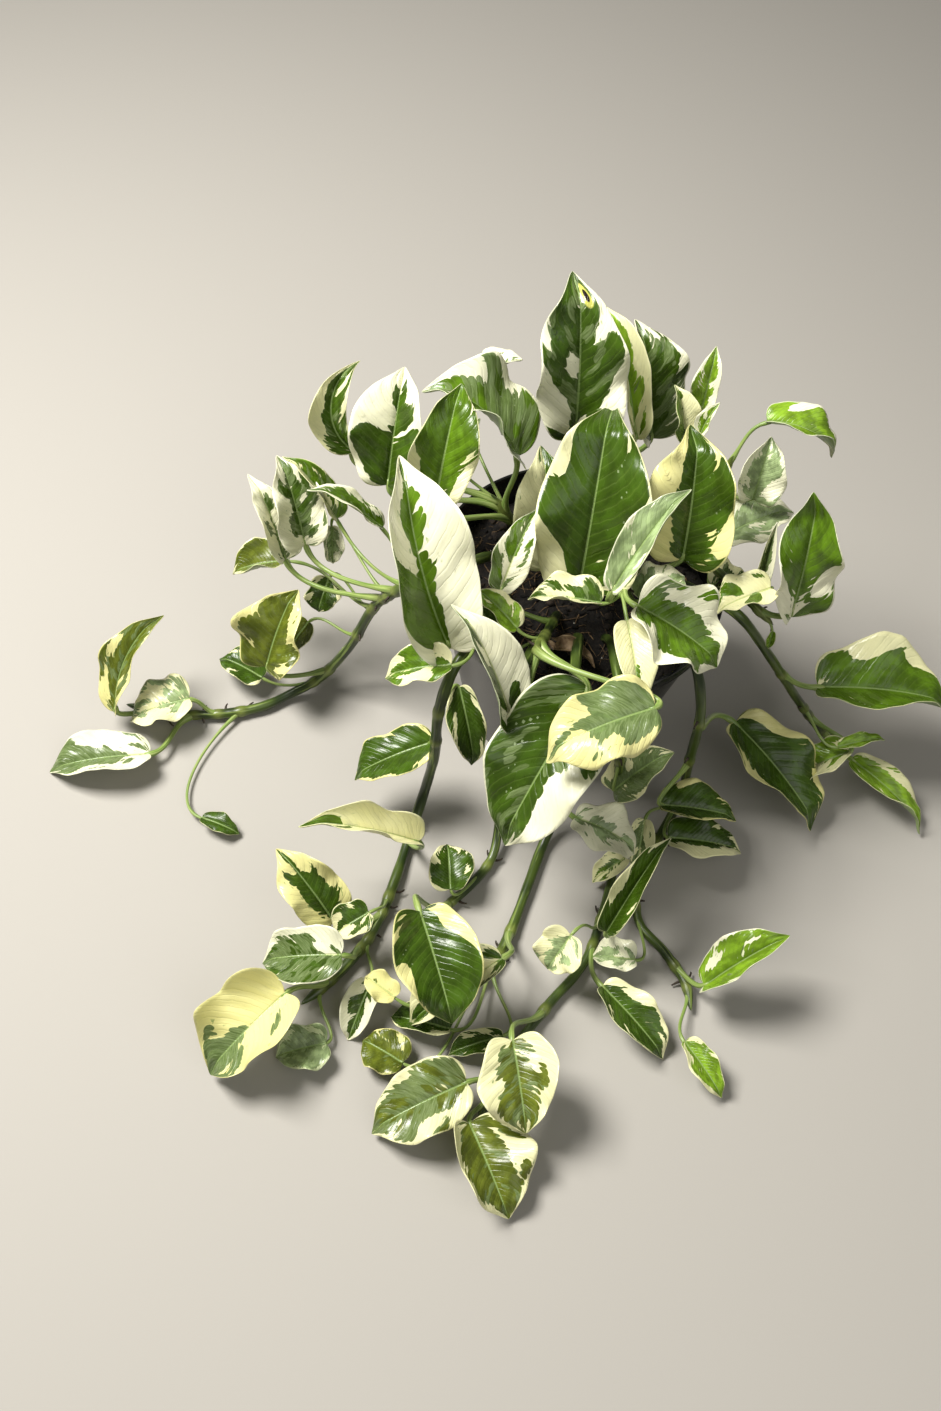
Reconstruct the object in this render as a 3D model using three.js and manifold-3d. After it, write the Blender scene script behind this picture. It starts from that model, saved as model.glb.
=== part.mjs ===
// Potted pothos: a thin nursery pot of peat with upright and trailing stems of variegated leaves.
// Millimetres, +Z up. The origin is the centre of the pot's base, on the surface it stands on.
import * as THREE from "three";
import { mergeVertices } from "three/addons/utils/BufferGeometryUtils.js";
import Module from "manifold-3d";

const wasm = await Module();
wasm.setup();

// Driving dimensions
const POT_HEIGHT = 130;
const POT_RIM_RADIUS = 85;
const POT_BASE_RADIUS = 60;
const POT_WALL = 1.5;
const RIM_BAND_HEIGHT = 9;
const RIM_BAND_OVERHANG = 2.5;
const RIM_CHAMFER = 1;
const DRAIN_HOLES = 8;
const DRAIN_HOLE_RADIUS = 5;
const DRAIN_CIRCLE_RADIUS = 43;
const SOIL_BELOW_RIM = 17;
const SOIL_MOUND = 3;
const SOIL_SHOULDER_SHARE = 0.8;
const SOIL_CROWN_SHARE = 0.4;
const STOUT_STEM = 3.4;
const USUAL_STEM = 3.1;
const SLIM_STEM = 2.7;
const CLEARANCE = 0.3;
const BLADE_THICKNESS = 1.2;
const PETIOLE_RADIUS = 1.5;
const SMALL_PETIOLE_RADIUS = 1.1;
const PETIOLE_LONGEST_REACH = 30;
const PETIOLE_INTO_BLADE = 0.05;
const BLADE_MIN_HALF_WIDTH = 1.3;
const WIDE_BLADE_FROM = 36;
const POT_SEGMENTS = 32;
const STEM_SIDES = 6;
const STEPS_PER_ROUTE_POINT = 2;
const PETIOLE_SIDES = 4;
const PETIOLE_STEPS = 3;

const SOIL_TOP = POT_HEIGHT - SOIL_BELOW_RIM;

// The stems' routes and the blades' places are set out about a pot of this size, and follow the rim
// when the pot's own size differs: outwards with its radius, and up with its height.
const SET_OUT = { height: 130, rimRadius: 85 };

// What stands within this radius of the pot's middle keeps its place when the rim's radius differs.
const CROWN_RADIUS = 50;

// Neighbours that share less than this volume, in cubic millimetres, only touch.
const SMALLEST_OVERLAP = 0.01;

const COLOURS = {
  pot: { color: 0x111214, roughness: 0.35, metalness: 0 },
  soil: { color: 0x2a1c12, roughness: 0.95, metalness: 0 },
  stem: { color: 0x3c5a24, roughness: 0.5, metalness: 0 },
  leaf: { color: 0x7d9a52, roughness: 0.4, metalness: 0 },
};

// A blade's form where its own row says nothing: angles in degrees, ripple as a share of its half width.
// bend arches it downwards, sway bows it to its left, roll tips it about its length, twist winds it,
// fold lifts the halves into a V, curl turns up the margins (left and right), ripple waves them.
const USUAL_FORM = {
  bend: 30, sway: 0, roll: 0, twist: 0, fold: 14, curl: [18, 18], ripple: 0.1, waves: 2,
};

// Each stem: radius, its route from inside the soil outwards, and its leaves.
// A leaf: name, place along the stem (0 to 1), where its blade starts, heading, pitch, length, width,
// and what differs from the usual form. "joined" leaves are small and stay one solid with their stem.
const STEMS = [
  {
    name: "left_vine",
    radius: STOUT_STEM,
    route: [
      [-43, 20, 95], [-52, 8, 125], [-66, -14, 143], [-84, -27, 146], [-101, -25, 128], [-120, -14, 92],
      [-137, -14, 45], [-157, -20, 14], [-174, -29, 6], [-191, -41, 5], [-220, -51, 5], [-252, -54, 5],
      [-277, -52, 6],
    ],
    leaves: [
      ["left_narrow_leaf", 0.25, [-118, -1, 150], 180, 35, 51, 16, { joined: true, fold: 35 }],
      ["left_fan_leaf_c", 0.3, [-148, 19, 130], 160, 50, 51, 22, { joined: true, fold: 30 }],
      ["left_fan_leaf_a", 0.33, [-167, 13, 110], 125, 58, 58, 40, {}],
      ["left_drooping_leaf", 0.36, [-152, 23, 118], -80, -60, 26, 16, { joined: true }],
      ["left_fan_leaf_b", 0.38, [-180, 12, 95], 135, 60, 59, 28, {}],
      ["left_shade_leaf", 0.43, [-154, 16, 75], -110, -50, 24, 24, { joined: true }],
      ["left_side_leaf", 0.42, [-180, 23, 80], -170, -15, 40, 34, { joined: true }],
      ["left_under_leaf", 0.51, [-165, -1, 50], -130, -45, 30, 24, { joined: true }],
      ["left_yellow_leaf", 0.62, [-188, -29, 35], 65, 50, 56, 50, { fold: 20 }],
      ["left_floor_leaf", 0.66, [-193, -24, 14], 160, 5, 33, 26, { joined: true }],
      ["side_shoot_leaf", 0.8, [-211, -128, 8], -15, -5, 26, 14, { joined: true }],
      ["far_left_leaf", 0.84, [-234, -52, 22], -158, -12, 42, 38, {}],
      ["far_left_end_leaf", 0.88, [-252, -90, 12], -165, -5, 66, 38, {}],
      ["far_left_upright_leaf", 0.94, [-279, -66, 18], 60, 45, 74, 28, { fold: 25, sway: 40 }],
    ],
  },
  {
    name: "front_left_vine",
    radius: STOUT_STEM,
    route: [
      [-34, -21, 95], [-43, -42, 125], [-55, -63, 139], [-66, -84, 138], [-72, -96, 115], [-73, -97, 62],
      [-77, -98, 22], [-82, -117, 6], [-88, -153, 5], [-96, -187, 5], [-106, -206, 5], [-119, -224, 5],
      [-131, -238, 6],
    ],
    leaves: [
      ["front_left_dark_leaf", 0.33, [-63, -68, 95], -65, -45, 51, 26, { joined: true }],
      ["front_oval_leaf", 0.41, [-75, -86, 60], -160, -25, 57, 34, {}],
      ["long_cream_leaf", 0.65, [-76, -146, 45], -170, 25, 75, 34, { fold: 35 }],
      ["lower_left_leaf_b", 0.77, [-99, -190, 36], -145, -20, 24, 26, { joined: true }],
      ["lower_left_leaf_a", 0.8, [-119, -193, 25], 145, 40, 56, 36, {}],
      ["spear_leaf", 0.85, [-93, -222, 14], -105, -20, 37, 24, { joined: true }],
      ["lower_left_leaf_c", 0.87, [-110, -219, 40], -175, -15, 49, 38, {}],
      ["lower_left_big_leaf", 0.94, [-138, -241, 30], -130, -18, 62, 60, {}],
      ["lower_left_leaf_d", 0.96, [-113, -259, 8], -160, -5, 30, 32, { joined: true }],
    ],
  },
  {
    name: "front_centre_vine",
    radius: USUAL_STEM,
    route: [
      [-15, -26, 95], [-20, -48, 125], [-26, -72, 141], [-32, -92, 141], [-34, -102, 115], [-31, -103, 60],
      [-29, -110, 18], [-31, -131, 6], [-42, -150, 5], [-59, -171, 6],
    ],
    leaves: [
      ["dark_cupped_leaf", 0.97, [-69, -202, 72], -65, -20, 64, 54, { curl: [40, 40] }],
      ["shaded_leaf", 0.85, [-54, -161, 18], 100, 8, 30, 30, { joined: true }],
    ],
  },
  {
    name: "front_vine",
    radius: STOUT_STEM,
    route: [
      [3, -23, 95], [2, -46, 125], [0, -70, 140], [0, -90, 140], [3, -99, 115], [7, -98, 58], [6, -101, 18],
      [0, -117, 6], [-7, -145, 5], [-15, -176, 5], [-22, -196, 5], [-32, -214, 7],
    ],
    leaves: [
      ["pale_drooping_leaf", 0.43, [13, -127, 62], -15, -20, 47, 34, { bend: 60, curl: [-40, -10] }],
      ["boat_leaf", 0.88, [-21, -211, 42], -145, -25, 68, 38, { fold: 30 }],
      ["yellow_lobe_leaf", 0.93, [-78, -233, 22], 150, 0, 22, 20, { joined: true }],
      ["lower_dark_leaf_a", 0.94, [-45, -244, 12], 170, -10, 37, 26, { joined: true }],
      ["lower_dark_leaf_b", 0.95, [-15, -245, 14], -160, -15, 34, 18, { joined: true }],
      ["olive_leaf", 0.97, [-69, -265, 8], 155, -5, 28, 28, { joined: true }],
    ],
  },
  {
    name: "front_long_vine",
    radius: USUAL_STEM,
    route: [
      [18, -21, 95], [20, -44, 125], [22, -68, 139], [25, -88, 139], [30, -97, 115], [38, -97, 58],
      [45, -100, 18], [45, -121, 6], [39, -159, 5], [30, -191, 5], [11, -219, 5], [-7, -248, 5],
      [-20, -279, 5], [-24, -293, 6],
    ],
    leaves: [
      ["front_curled_leaf", 0.34, [35, -105, 60], 25, 45, 45, 34, { joined: true }],
      ["pale_curled_leaf", 0.66, [17, -191, 40], -125, -40, 26, 32, { joined: true }],
      ["lower_right_leaf_a", 0.7, [39, -211, 20], -40, -15, 55, 32, {}],
      ["bottom_round_leaf", 0.82, [-11, -256, 40], -75, -15, 50, 50, {}],
      ["bottom_left_leaf", 0.92, [-33, -276, 22], -150, -12, 60, 42, {}],
      ["bottom_under_leaf", 0.94, [-12, -291, 8], -60, -5, 24, 20, { joined: true }],
      ["bottom_leaf", 0.96, [-29, -296, 16], -60, -8, 54, 50, {}],
    ],
  },
  {
    name: "right_front_vine",
    radius: USUAL_STEM,
    route: [
      [42, -6, 95], [48, -26, 125], [56, -48, 141], [66, -66, 142], [75, -76, 116], [80, -78, 60],
      [82, -82, 20], [70, -108, 6], [59, -140, 5], [62, -163, 5], [77, -179, 5], [90, -198, 5],
      [93, -214, 6],
    ],
    leaves: [
      ["right_dark_leaf", 0.36, [112, -36, 45], -42, -20, 86, 54, {}],
      ["front_dark_leaf", 0.47, [67, -99, 40], 0, -5, 50, 34, {}],
      ["front_tiny_leaf_b", 0.58, [59, -105, 30], -95, -35, 34, 20, { joined: true }],
      ["front_cream_leaf", 0.56, [75, -111, 22], 0, -5, 49, 32, { joined: true }],
      ["front_tiny_leaf_a", 0.67, [50, -124, 14], -140, -15, 26, 20, { joined: true }],
      ["front_edge_leaf", 0.77, [38, -184, 36], 57, 45, 68, 28, { fold: 30 }],
      ["pale_small_leaf", 0.8, [58, -190, 14], 178, -8, 26, 26, { joined: true }],
      ["lower_right_leaf_b", 0.92, [98, -203, 20], 25, 45, 60, 34, {}],
      ["lower_right_leaf_c", 0.96, [88, -236, 14], -50, -10, 37, 20, { joined: true }],
    ],
  },
  {
    name: "right_vine",
    radius: USUAL_STEM,
    route: [
      [54, 23, 95], [60, 4, 125], [72, -16, 142], [90, -28, 143], [116, -28, 110], [146, -22, 62],
      [172, -20, 26], [194, -23, 8],
    ],
    leaves: [
      ["right_large_leaf", 0.6, [158, -19, 70], 0, 0, 87, 66, {}],
      ["right_strap_leaf", 0.78, [177, -45, 45], 15, 10, 31, 12, { joined: true }],
      ["right_twisted_leaf", 0.82, [186, -44, 40], -165, -40, 50, 30, { twist: 40 }],
      ["right_end_leaf", 0.9, [192, -40, 25], -35, -15, 66, 28, { twist: 40 }],
    ],
  },
  {
    name: "back_right_stem",
    radius: SLIM_STEM,
    route: [[50, 50, 95], [57, 46, 125], [68, 38, 160], [72, 35, 185], [74, 34, 205]],
    leaves: [
      ["back_right_leaf", 0.53, [78, 14, 160], 25, 15, 46, 36, {}],
      ["back_pale_leaf", 0.71, [91, 27, 180], 80, 65, 38, 32, { joined: true }],
      ["arching_leaf", 0.95, [88, 43, 225], -10, -15, 46, 30, { bend: 60, joined: true }],
    ],
  },
  {
    name: "right_side_stem",
    radius: SLIM_STEM,
    route: [[59, 42, 95], [66, 24, 125], [80, -2, 146], [96, -24, 150], [111, -32, 142]],
    leaves: [
      ["shade_leaf", 0.49, [76, -6, 140], 20, 5, 24, 22, { joined: true }],
      ["right_narrow_leaf", 0.76, [98, -20, 145], 80, 60, 50, 16, { joined: true, fold: 40 }],
      ["right_cream_leaf", 0.7, [103, -27, 168], -155, -15, 34, 30, { joined: true }],
      ["right_tall_leaf", 0.9, [119, -31, 150], 95, 65, 77, 42, { twist: 40 }],
      ["right_bud_leaf", 0.96, [111, -35, 140], -90, -65, 12, 6, { joined: true }],
    ],
  },
  {
    name: "centre_back_stem",
    radius: USUAL_STEM,
    route: [[13, 62, 95], [11, 50, 125], [8, 42, 160], [6, 40, 190]],
    leaves: [
      ["centre_pale_leaf", 0.45, [-21, -9, 140], 105, 55, 73, 40, {}],
      ["centre_leaf", 0.6, [-2, -30, 152], 88, 55, 108, 66, {}],
      ["top_right_leaf", 0.8, [33, 72, 174], 122, 60, 72, 48, {}],
      ["top_leaf", 0.88, [-15, 36, 203], 105, 65, 92, 54, {}],
      ["top_rear_leaf", 0.95, [21, 47, 196], 120, 45, 80, 30, { fold: 30 }],
    ],
  },
  {
    name: "centre_right_stem",
    radius: USUAL_STEM,
    route: [[27, 31, 95], [26, 16, 125], [24, -12, 150], [21, -42, 166]],
    leaves: [
      ["right_upright_leaf", 0.66, [54, -11, 165], 98, 62, 78, 60, {}],
      ["under_leaf", 0.7, [32, -38, 158], 35, 15, 30, 32, { joined: true }],
      ["drooping_cream_leaf", 0.99, [24, -60, 166], -75, -25, 44, 20, { joined: true }],
      ["left_pointing_leaf", 0.97, [9, -51, 167], 175, -8, 32, 22, { joined: true }],
      ["small_folded_leaf", 0.85, [47, 48, 200], 125, 60, 32, 20, { joined: true, fold: 40 }],
      ["pale_rolled_leaf", 0.7, [12, -60, 190], 50, 45, 68, 26, { curl: [60, 60] }],
      ["right_centre_leaf", 0.86, [28, -57, 176], -20, -20, 58, 56, {}],
      ["young_leaf", 0.95, [54, 57, 215], 85, 70, 37, 18, { joined: true }],
      ["young_lower_leaf", 0.88, [54, 44, 205], 40, 70, 25, 12, { joined: true }],
    ],
  },
  {
    name: "left_back_stem",
    radius: USUAL_STEM,
    route: [[-26, 35, 95], [-34, 24, 125], [-46, 18, 150], [-58, 21, 165]],
    leaves: [
      ["left_tall_leaf", 0.7, [-87, -14, 192], 80, 55, 66, 40, {}],
      ["left_back_leaf", 0.85, [-117, 12, 172], 85, 52, 68, 52, {}],
      ["left_arching_leaf", 0.8, [-45, 24, 195], 172, 35, 72, 58, { bend: 60, roll: -15 }],
      ["left_small_leaf", 0.9, [-78, 33, 175], 50, 65, 30, 18, { joined: true }],
      ["crumpled_leaf", 0.75, [-74, 84, 190], 10, 40, 32, 28, { joined: true }],
      ["hooked_leaf", 0.9, [-138, 27, 180], 93, 65, 62, 28, { sway: 110 }],
    ],
  },
  {
    name: "left_rim_stem",
    radius: USUAL_STEM,
    route: [[-36, 2, 95], [-45, -20, 125], [-56, -42, 148], [-66, -56, 165]],
    leaves: [
      ["left_lower_leaf", 0.7, [-68, -94, 153], -175, -20, 40, 26, { joined: true }],
      ["left_big_leaf", 0.8, [-70, -78, 146], 120, 50, 112, 64, { sway: 30 }],
    ],
  },
  {
    name: "front_stem",
    radius: USUAL_STEM,
    route: [[-7, -6, 95], [-12, -28, 120], [-18, -58, 142], [-24, -80, 155]],
    leaves: [
      ["front_wide_leaf", 0.97, [40, -116, 168], -155, -15, 66, 44, { curl: [-30, 20] }],
      ["inner_white_leaf", 0.5, [-46, -37, 150], 62, 55, 52, 24, {}],
      ["inner_left_leaf", 0.75, [-44, -72, 146], 130, 35, 24, 22, { joined: true }],
      ["front_big_leaf", 0.88, [8, -96, 148], -120, -40, 104, 62, {}],
      ["white_leaf", 0.8, [-30, -107, 119], 142, 55, 84, 38, { fold: 30 }],
      ["green_strip_leaf", 0.8, [-35, -68, 158], 150, 25, 32, 20, { joined: true }],
    ],
  },
];

const rad = THREE.MathUtils.degToRad;

function placed([x, y, z]) {
  const beyondCrown = (Math.hypot(x, y) - CROWN_RADIUS) / (SET_OUT.rimRadius - CROWN_RADIUS);
  const reach = THREE.MathUtils.clamp(beyondCrown, 0, 1);
  const outwards = new THREE.Vector3(x, y, 0).normalize().multiplyScalar(
    reach * (POT_RIM_RADIUS - SET_OUT.rimRadius));
  const up = Math.min(1, z / SET_OUT.height) * (POT_HEIGHT - SET_OUT.height);
  return new THREE.Vector3(x, y, z + up).add(outwards);
}

function toSolid(geometry) {
  const bare = geometry.clone();
  bare.deleteAttribute("normal");
  bare.deleteAttribute("uv");
  const merged = mergeVertices(bare, 1e-4);
  const mesh = new wasm.Mesh({
    numProp: 3,
    vertProperties: new Float32Array(merged.attributes.position.array),
    triVerts: new Uint32Array(merged.index.array),
  });
  return new wasm.Manifold(mesh);
}

function toGeometry(solid) {
  const mesh = solid.getMesh();
  const geometry = new THREE.BufferGeometry();
  geometry.setAttribute("position", new THREE.BufferAttribute(mesh.vertProperties, 3));
  geometry.setIndex(new THREE.BufferAttribute(mesh.triVerts, 1));
  geometry.computeVertexNormals();
  return geometry;
}

function addPart(group, name, solid, colour) {
  const mesh = new THREE.Mesh(toGeometry(solid), new THREE.MeshStandardMaterial(COLOURS[colour]));
  mesh.name = name;
  group.add(mesh);
}

// Pot and soil: both are turned shapes about the vertical axis
function lathe(profile) {
  const points = profile.map(([radius, height]) => new THREE.Vector2(radius, height));
  const geometry = new THREE.LatheGeometry(points, POT_SEGMENTS);
  geometry.rotateX(Math.PI / 2);
  return toSolid(geometry);
}

const outerRadius = (z) => THREE.MathUtils.lerp(POT_BASE_RADIUS, POT_RIM_RADIUS, z / POT_HEIGHT);
const innerRadius = (z) => outerRadius(z) - POT_WALL;

function makePot() {
  const bandBottom = POT_HEIGHT - RIM_BAND_HEIGHT;
  const bandRadius = POT_RIM_RADIUS + RIM_BAND_OVERHANG;
  let pot = lathe([
    [0, 0],
    [POT_BASE_RADIUS, 0],
    [outerRadius(bandBottom), bandBottom],
    [bandRadius, bandBottom],
    [bandRadius, POT_HEIGHT - RIM_CHAMFER],
    [bandRadius - RIM_CHAMFER, POT_HEIGHT],
    [innerRadius(POT_HEIGHT), POT_HEIGHT],
    [innerRadius(POT_WALL), POT_WALL],
    [0, POT_WALL],
  ]);
  for (let i = 0; i < DRAIN_HOLES; i++) {
    const angle = (i / DRAIN_HOLES) * Math.PI * 2;
    const hole = new THREE.CylinderGeometry(DRAIN_HOLE_RADIUS, DRAIN_HOLE_RADIUS, 4 * POT_WALL, 8);
    hole.rotateX(Math.PI / 2);
    hole.translate(DRAIN_CIRCLE_RADIUS * Math.cos(angle), DRAIN_CIRCLE_RADIUS * Math.sin(angle), 0);
    pot = pot.subtract(toSolid(hole));
  }
  return pot;
}

function makeSoil(sockets) {
  const bottom = POT_WALL + CLEARANCE;
  const edgeHeight = SOIL_TOP - SOIL_MOUND;
  const edge = innerRadius(edgeHeight) - CLEARANCE;
  let soil = lathe([
    [0, bottom],
    [innerRadius(bottom) - CLEARANCE, bottom],
    [edge, edgeHeight],
    [edge * SOIL_SHOULDER_SHARE, SOIL_TOP],
    [edge * SOIL_CROWN_SHARE, SOIL_TOP + SOIL_MOUND / 2],
    [0, SOIL_TOP + SOIL_MOUND / 2],
  ]);
  for (const socket of sockets) soil = soil.subtract(socket);
  return soil;
}

// A tube of the given radius along a curve, closed at both ends
function tube(curve, radius, sides, steps) {
  const section = new THREE.Shape();
  for (let i = 0; i < sides; i++) {
    const angle = (i / sides) * Math.PI * 2;
    const method = i === 0 ? "moveTo" : "lineTo";
    section[method](radius * Math.cos(angle), radius * Math.sin(angle));
  }
  section.closePath();
  return toSolid(new THREE.ExtrudeGeometry(section, { steps, extrudePath: curve, bevelEnabled: false }));
}

const stemCurve = (stem) => new THREE.CatmullRomCurve3(stem.route.map(placed), false, "centripetal");

function stemTube(stem, extra) {
  const steps = STEPS_PER_ROUTE_POINT * stem.route.length;
  return tube(stemCurve(stem), stem.radius + extra, STEM_SIDES, steps);
}

// The frame of a blade at its middle: forward along it, side to its right, normal out of its face
function bladeFrame(leaf) {
  const heading = rad(leaf.heading);
  const pitch = rad(leaf.pitch);
  const forward = new THREE.Vector3(
    Math.cos(pitch) * Math.cos(heading), Math.cos(pitch) * Math.sin(heading), Math.sin(pitch));
  const side = new THREE.Vector3(Math.sin(heading), -Math.cos(heading), 0);
  side.applyAxisAngle(forward, -rad(leaf.form.roll));
  return { forward, side, normal: side.clone().cross(forward) };
}

// How far along and above its chord a curve of the given total angle is, at u from 0 to 1
function arc(angle, u) {
  const a = rad(angle) || 1e-6;
  return {
    along: (Math.sin(a / 2) - Math.sin(a / 2 - a * u)) / a,
    above: (Math.cos(a / 2 - a * u) - Math.cos(a / 2)) / a,
  };
}

// Half width of a blade as a share of its greatest: round at the base, drawn out to the tip
function outline(u) {
  const base = 0.55;
  const tip = 1.05;
  const widest = base / (base + tip);
  return (u / widest) ** base * ((1 - u) / (1 - widest)) ** tip;
}

// A point of a blade: u runs from base to tip, v from left margin -1 to right margin 1,
// and offset is how far above the middle surface it lies
function bladePoint(leaf, frame, u, v, offset) {
  const { bend, sway, twist, fold, curl, ripple, waves } = leaf.form;
  const lift = arc(bend, u);
  const bow = arc(sway, u);
  const point = placed(leaf.base)
    .addScaledVector(frame.forward, leaf.length * (lift.along + bow.along - u))
    .addScaledVector(frame.normal, leaf.length * lift.above)
    .addScaledVector(frame.side, -leaf.length * bow.above);
  const tilt = rad(bend) * (0.5 - u);
  const forward = frame.forward.clone().applyAxisAngle(frame.side, tilt);
  const side = frame.side.clone().applyAxisAngle(forward, -rad(twist) * (u - 0.5));
  const normal = side.clone().cross(forward);
  const s = Math.abs(v);
  const hand = v < 0 ? -1 : 1;
  const turn = rad(curl[v < 0 ? 0 : 1]) || 1e-6;
  const angle = rad(fold) + turn * s;
  const halfWidth = Math.max(BLADE_MIN_HALF_WIDTH, (leaf.width / 2) * outline(u));
  const out = (halfWidth * (Math.sin(angle) - Math.sin(rad(fold)))) / turn;
  const wave = ripple * s * s * Math.sin(2 * Math.PI * (waves * u + (v < 0 ? 0.3 : 0)));
  const up = (halfWidth * (Math.cos(rad(fold)) - Math.cos(angle))) / turn + halfWidth * wave;
  return point
    .addScaledVector(side, hand * (out - offset * Math.sin(angle)))
    .addScaledVector(normal, up + offset * Math.cos(angle));
}

function makeBlade(leaf, frame) {
  const across = leaf.width > WIDE_BLADE_FROM ? 4 : 2;
  const along = leaf.form.joined ? 3 : 4;
  const geometry = new THREE.BoxGeometry(2, 1, 1, across, along, 1);
  const position = geometry.attributes.position;
  for (let i = 0; i < position.count; i++) {
    const u = THREE.MathUtils.clamp(position.getY(i) + 0.5, 0, 1);
    const offset = position.getZ(i) * BLADE_THICKNESS;
    const point = bladePoint(leaf, frame, u, position.getX(i), offset);
    position.setXYZ(i, point.x, point.y, point.z);
  }
  return toSolid(geometry);
}

// The leaf stalk: leaves the stem, then runs into the blade along its midrib
function makePetiole(leaf, frame, curve) {
  const start = curve.getPointAt(leaf.place);
  const end = bladePoint(leaf, frame, PETIOLE_INTO_BLADE, 0, 0);
  const span = start.distanceTo(end);
  const reach = Math.min(0.4 * span, PETIOLE_LONGEST_REACH);
  const leaving = end.clone().sub(start).normalize().add(curve.getTangentAt(leaf.place)).normalize();
  const entering = frame.forward.clone().applyAxisAngle(frame.side, rad(leaf.form.bend) / 2);
  const path = new THREE.CubicBezierCurve3(
    start,
    start.clone().addScaledVector(leaving, reach),
    end.clone().addScaledVector(entering, -reach),
    end,
  );
  const radius = leaf.form.joined ? SMALL_PETIOLE_RADIUS : PETIOLE_RADIUS;
  return tube(path, radius, PETIOLE_SIDES, PETIOLE_STEPS);
}

function makeLeaf(row, curve) {
  const [name, place, base, heading, pitch, length, width, own] = row;
  const leaf = { name, place, base, heading, pitch, length, width, form: { ...USUAL_FORM, ...own } };
  const frame = bladeFrame(leaf);
  leaf.solid = makeBlade(leaf, frame).add(makePetiole(leaf, frame, curve));
  return leaf;
}

function boxesMeet(a, b) {
  return [0, 1, 2].every((axis) => a.min[axis] <= b.max[axis] && b.min[axis] <= a.max[axis]);
}

// The solid less any of the others that it runs into
function cutClear(solid, others) {
  const box = solid.boundingBox();
  const near = others.filter((other) => boxesMeet(box, other.box));
  const met = near.filter((other) => solid.intersect(other.solid).volume() > SMALLEST_OVERLAP);
  return met.reduce((cut, other) => cut.subtract(other.solid), solid);
}

const group = new THREE.Group();
const sockets = [];
const stems = [];
const leaves = [];
for (const stem of STEMS) {
  const curve = stemCurve(stem);
  const cleared = stemTube(stem, CLEARANCE);
  let solid = stemTube(stem, 0);
  sockets.push(cleared);
  for (const row of stem.leaves) {
    const leaf = makeLeaf(row, curve);
    if (leaf.form.joined) solid = solid.add(leaf.solid);
    else leaves.push({ name: leaf.name, solid: leaf.solid.subtract(cleared), colour: "leaf" });
  }
  stems.push({ name: stem.name, solid, colour: "stem" });
}

// Neighbours that a changed size brings together are cut clear of each other: stems of the stems before
// them, and leaves of every stem and of the leaves before them.
const standing = [];
for (const { name, solid, colour } of [...stems, ...leaves]) {
  const cut = cutClear(solid, standing);
  standing.push({ name, solid: cut, box: cut.boundingBox(), colour });
}
for (const { name, solid, colour } of standing) addPart(group, name, solid, colour);
addPart(group, "nursery_pot", makePot(), "pot");
addPart(group, "potting_soil", makeSoil(sockets), "soil");

export default group;
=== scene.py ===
"""Looks of a potted variegated pothos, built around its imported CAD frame. Blender 4.5, metres, +Z up."""

import math
import random

import bmesh
import bpy
import numpy as np
from mathutils import Matrix, Vector, noise


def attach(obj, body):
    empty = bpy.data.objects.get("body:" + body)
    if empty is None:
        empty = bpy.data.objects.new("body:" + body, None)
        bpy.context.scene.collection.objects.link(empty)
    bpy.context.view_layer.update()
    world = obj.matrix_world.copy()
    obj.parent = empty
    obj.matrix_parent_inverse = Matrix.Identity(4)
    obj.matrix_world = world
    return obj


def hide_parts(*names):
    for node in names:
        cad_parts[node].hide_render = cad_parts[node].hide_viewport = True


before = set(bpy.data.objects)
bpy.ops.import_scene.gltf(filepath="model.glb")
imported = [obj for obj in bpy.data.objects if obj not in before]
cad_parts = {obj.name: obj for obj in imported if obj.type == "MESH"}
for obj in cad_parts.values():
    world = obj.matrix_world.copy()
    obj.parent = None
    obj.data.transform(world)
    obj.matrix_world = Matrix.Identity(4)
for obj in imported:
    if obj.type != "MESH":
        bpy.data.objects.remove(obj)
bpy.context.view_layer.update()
MM = 0.001
rng = random.Random(7)

# A blade's form where its own row says nothing. Angles are in degrees: bend arches it downwards, sway bows
# it to its left, roll tips it about its length, twist winds it, fold lifts the halves into a V and curl
# turns up the margins (left, right). ripple waves the margins, quilt puffs the blade up between its veins,
# lobe draws the base back beside the stalk, hook turns the tip down and ruffle crimps the margins.
USUAL_FORM = dict(
    bend=30, sway=0, roll=0, twist=0, fold=14, curl=(18, 18), ripple=0.17, waves=2,
    quilt=1.7, lobe=0.35, hook=50, ruffle=0.07,
)


def large(name, place, base, heading, pitch, length, width, joined=False, **form):
    """A leaf: its place along its stem (0 to 1), where its blade starts (mm), its heading and pitch
    (degrees), its length and width (mm), and what differs from USUAL_FORM."""
    return dict(
        USUAL_FORM, name=name, place=place, base=base, heading=heading, pitch=pitch, length=length,
        width=width, joined=joined, **form)


def small(*row, **form):
    """A small leaf, which CAD joins to its stem."""
    return large(*row, joined=True, **form)


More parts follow.
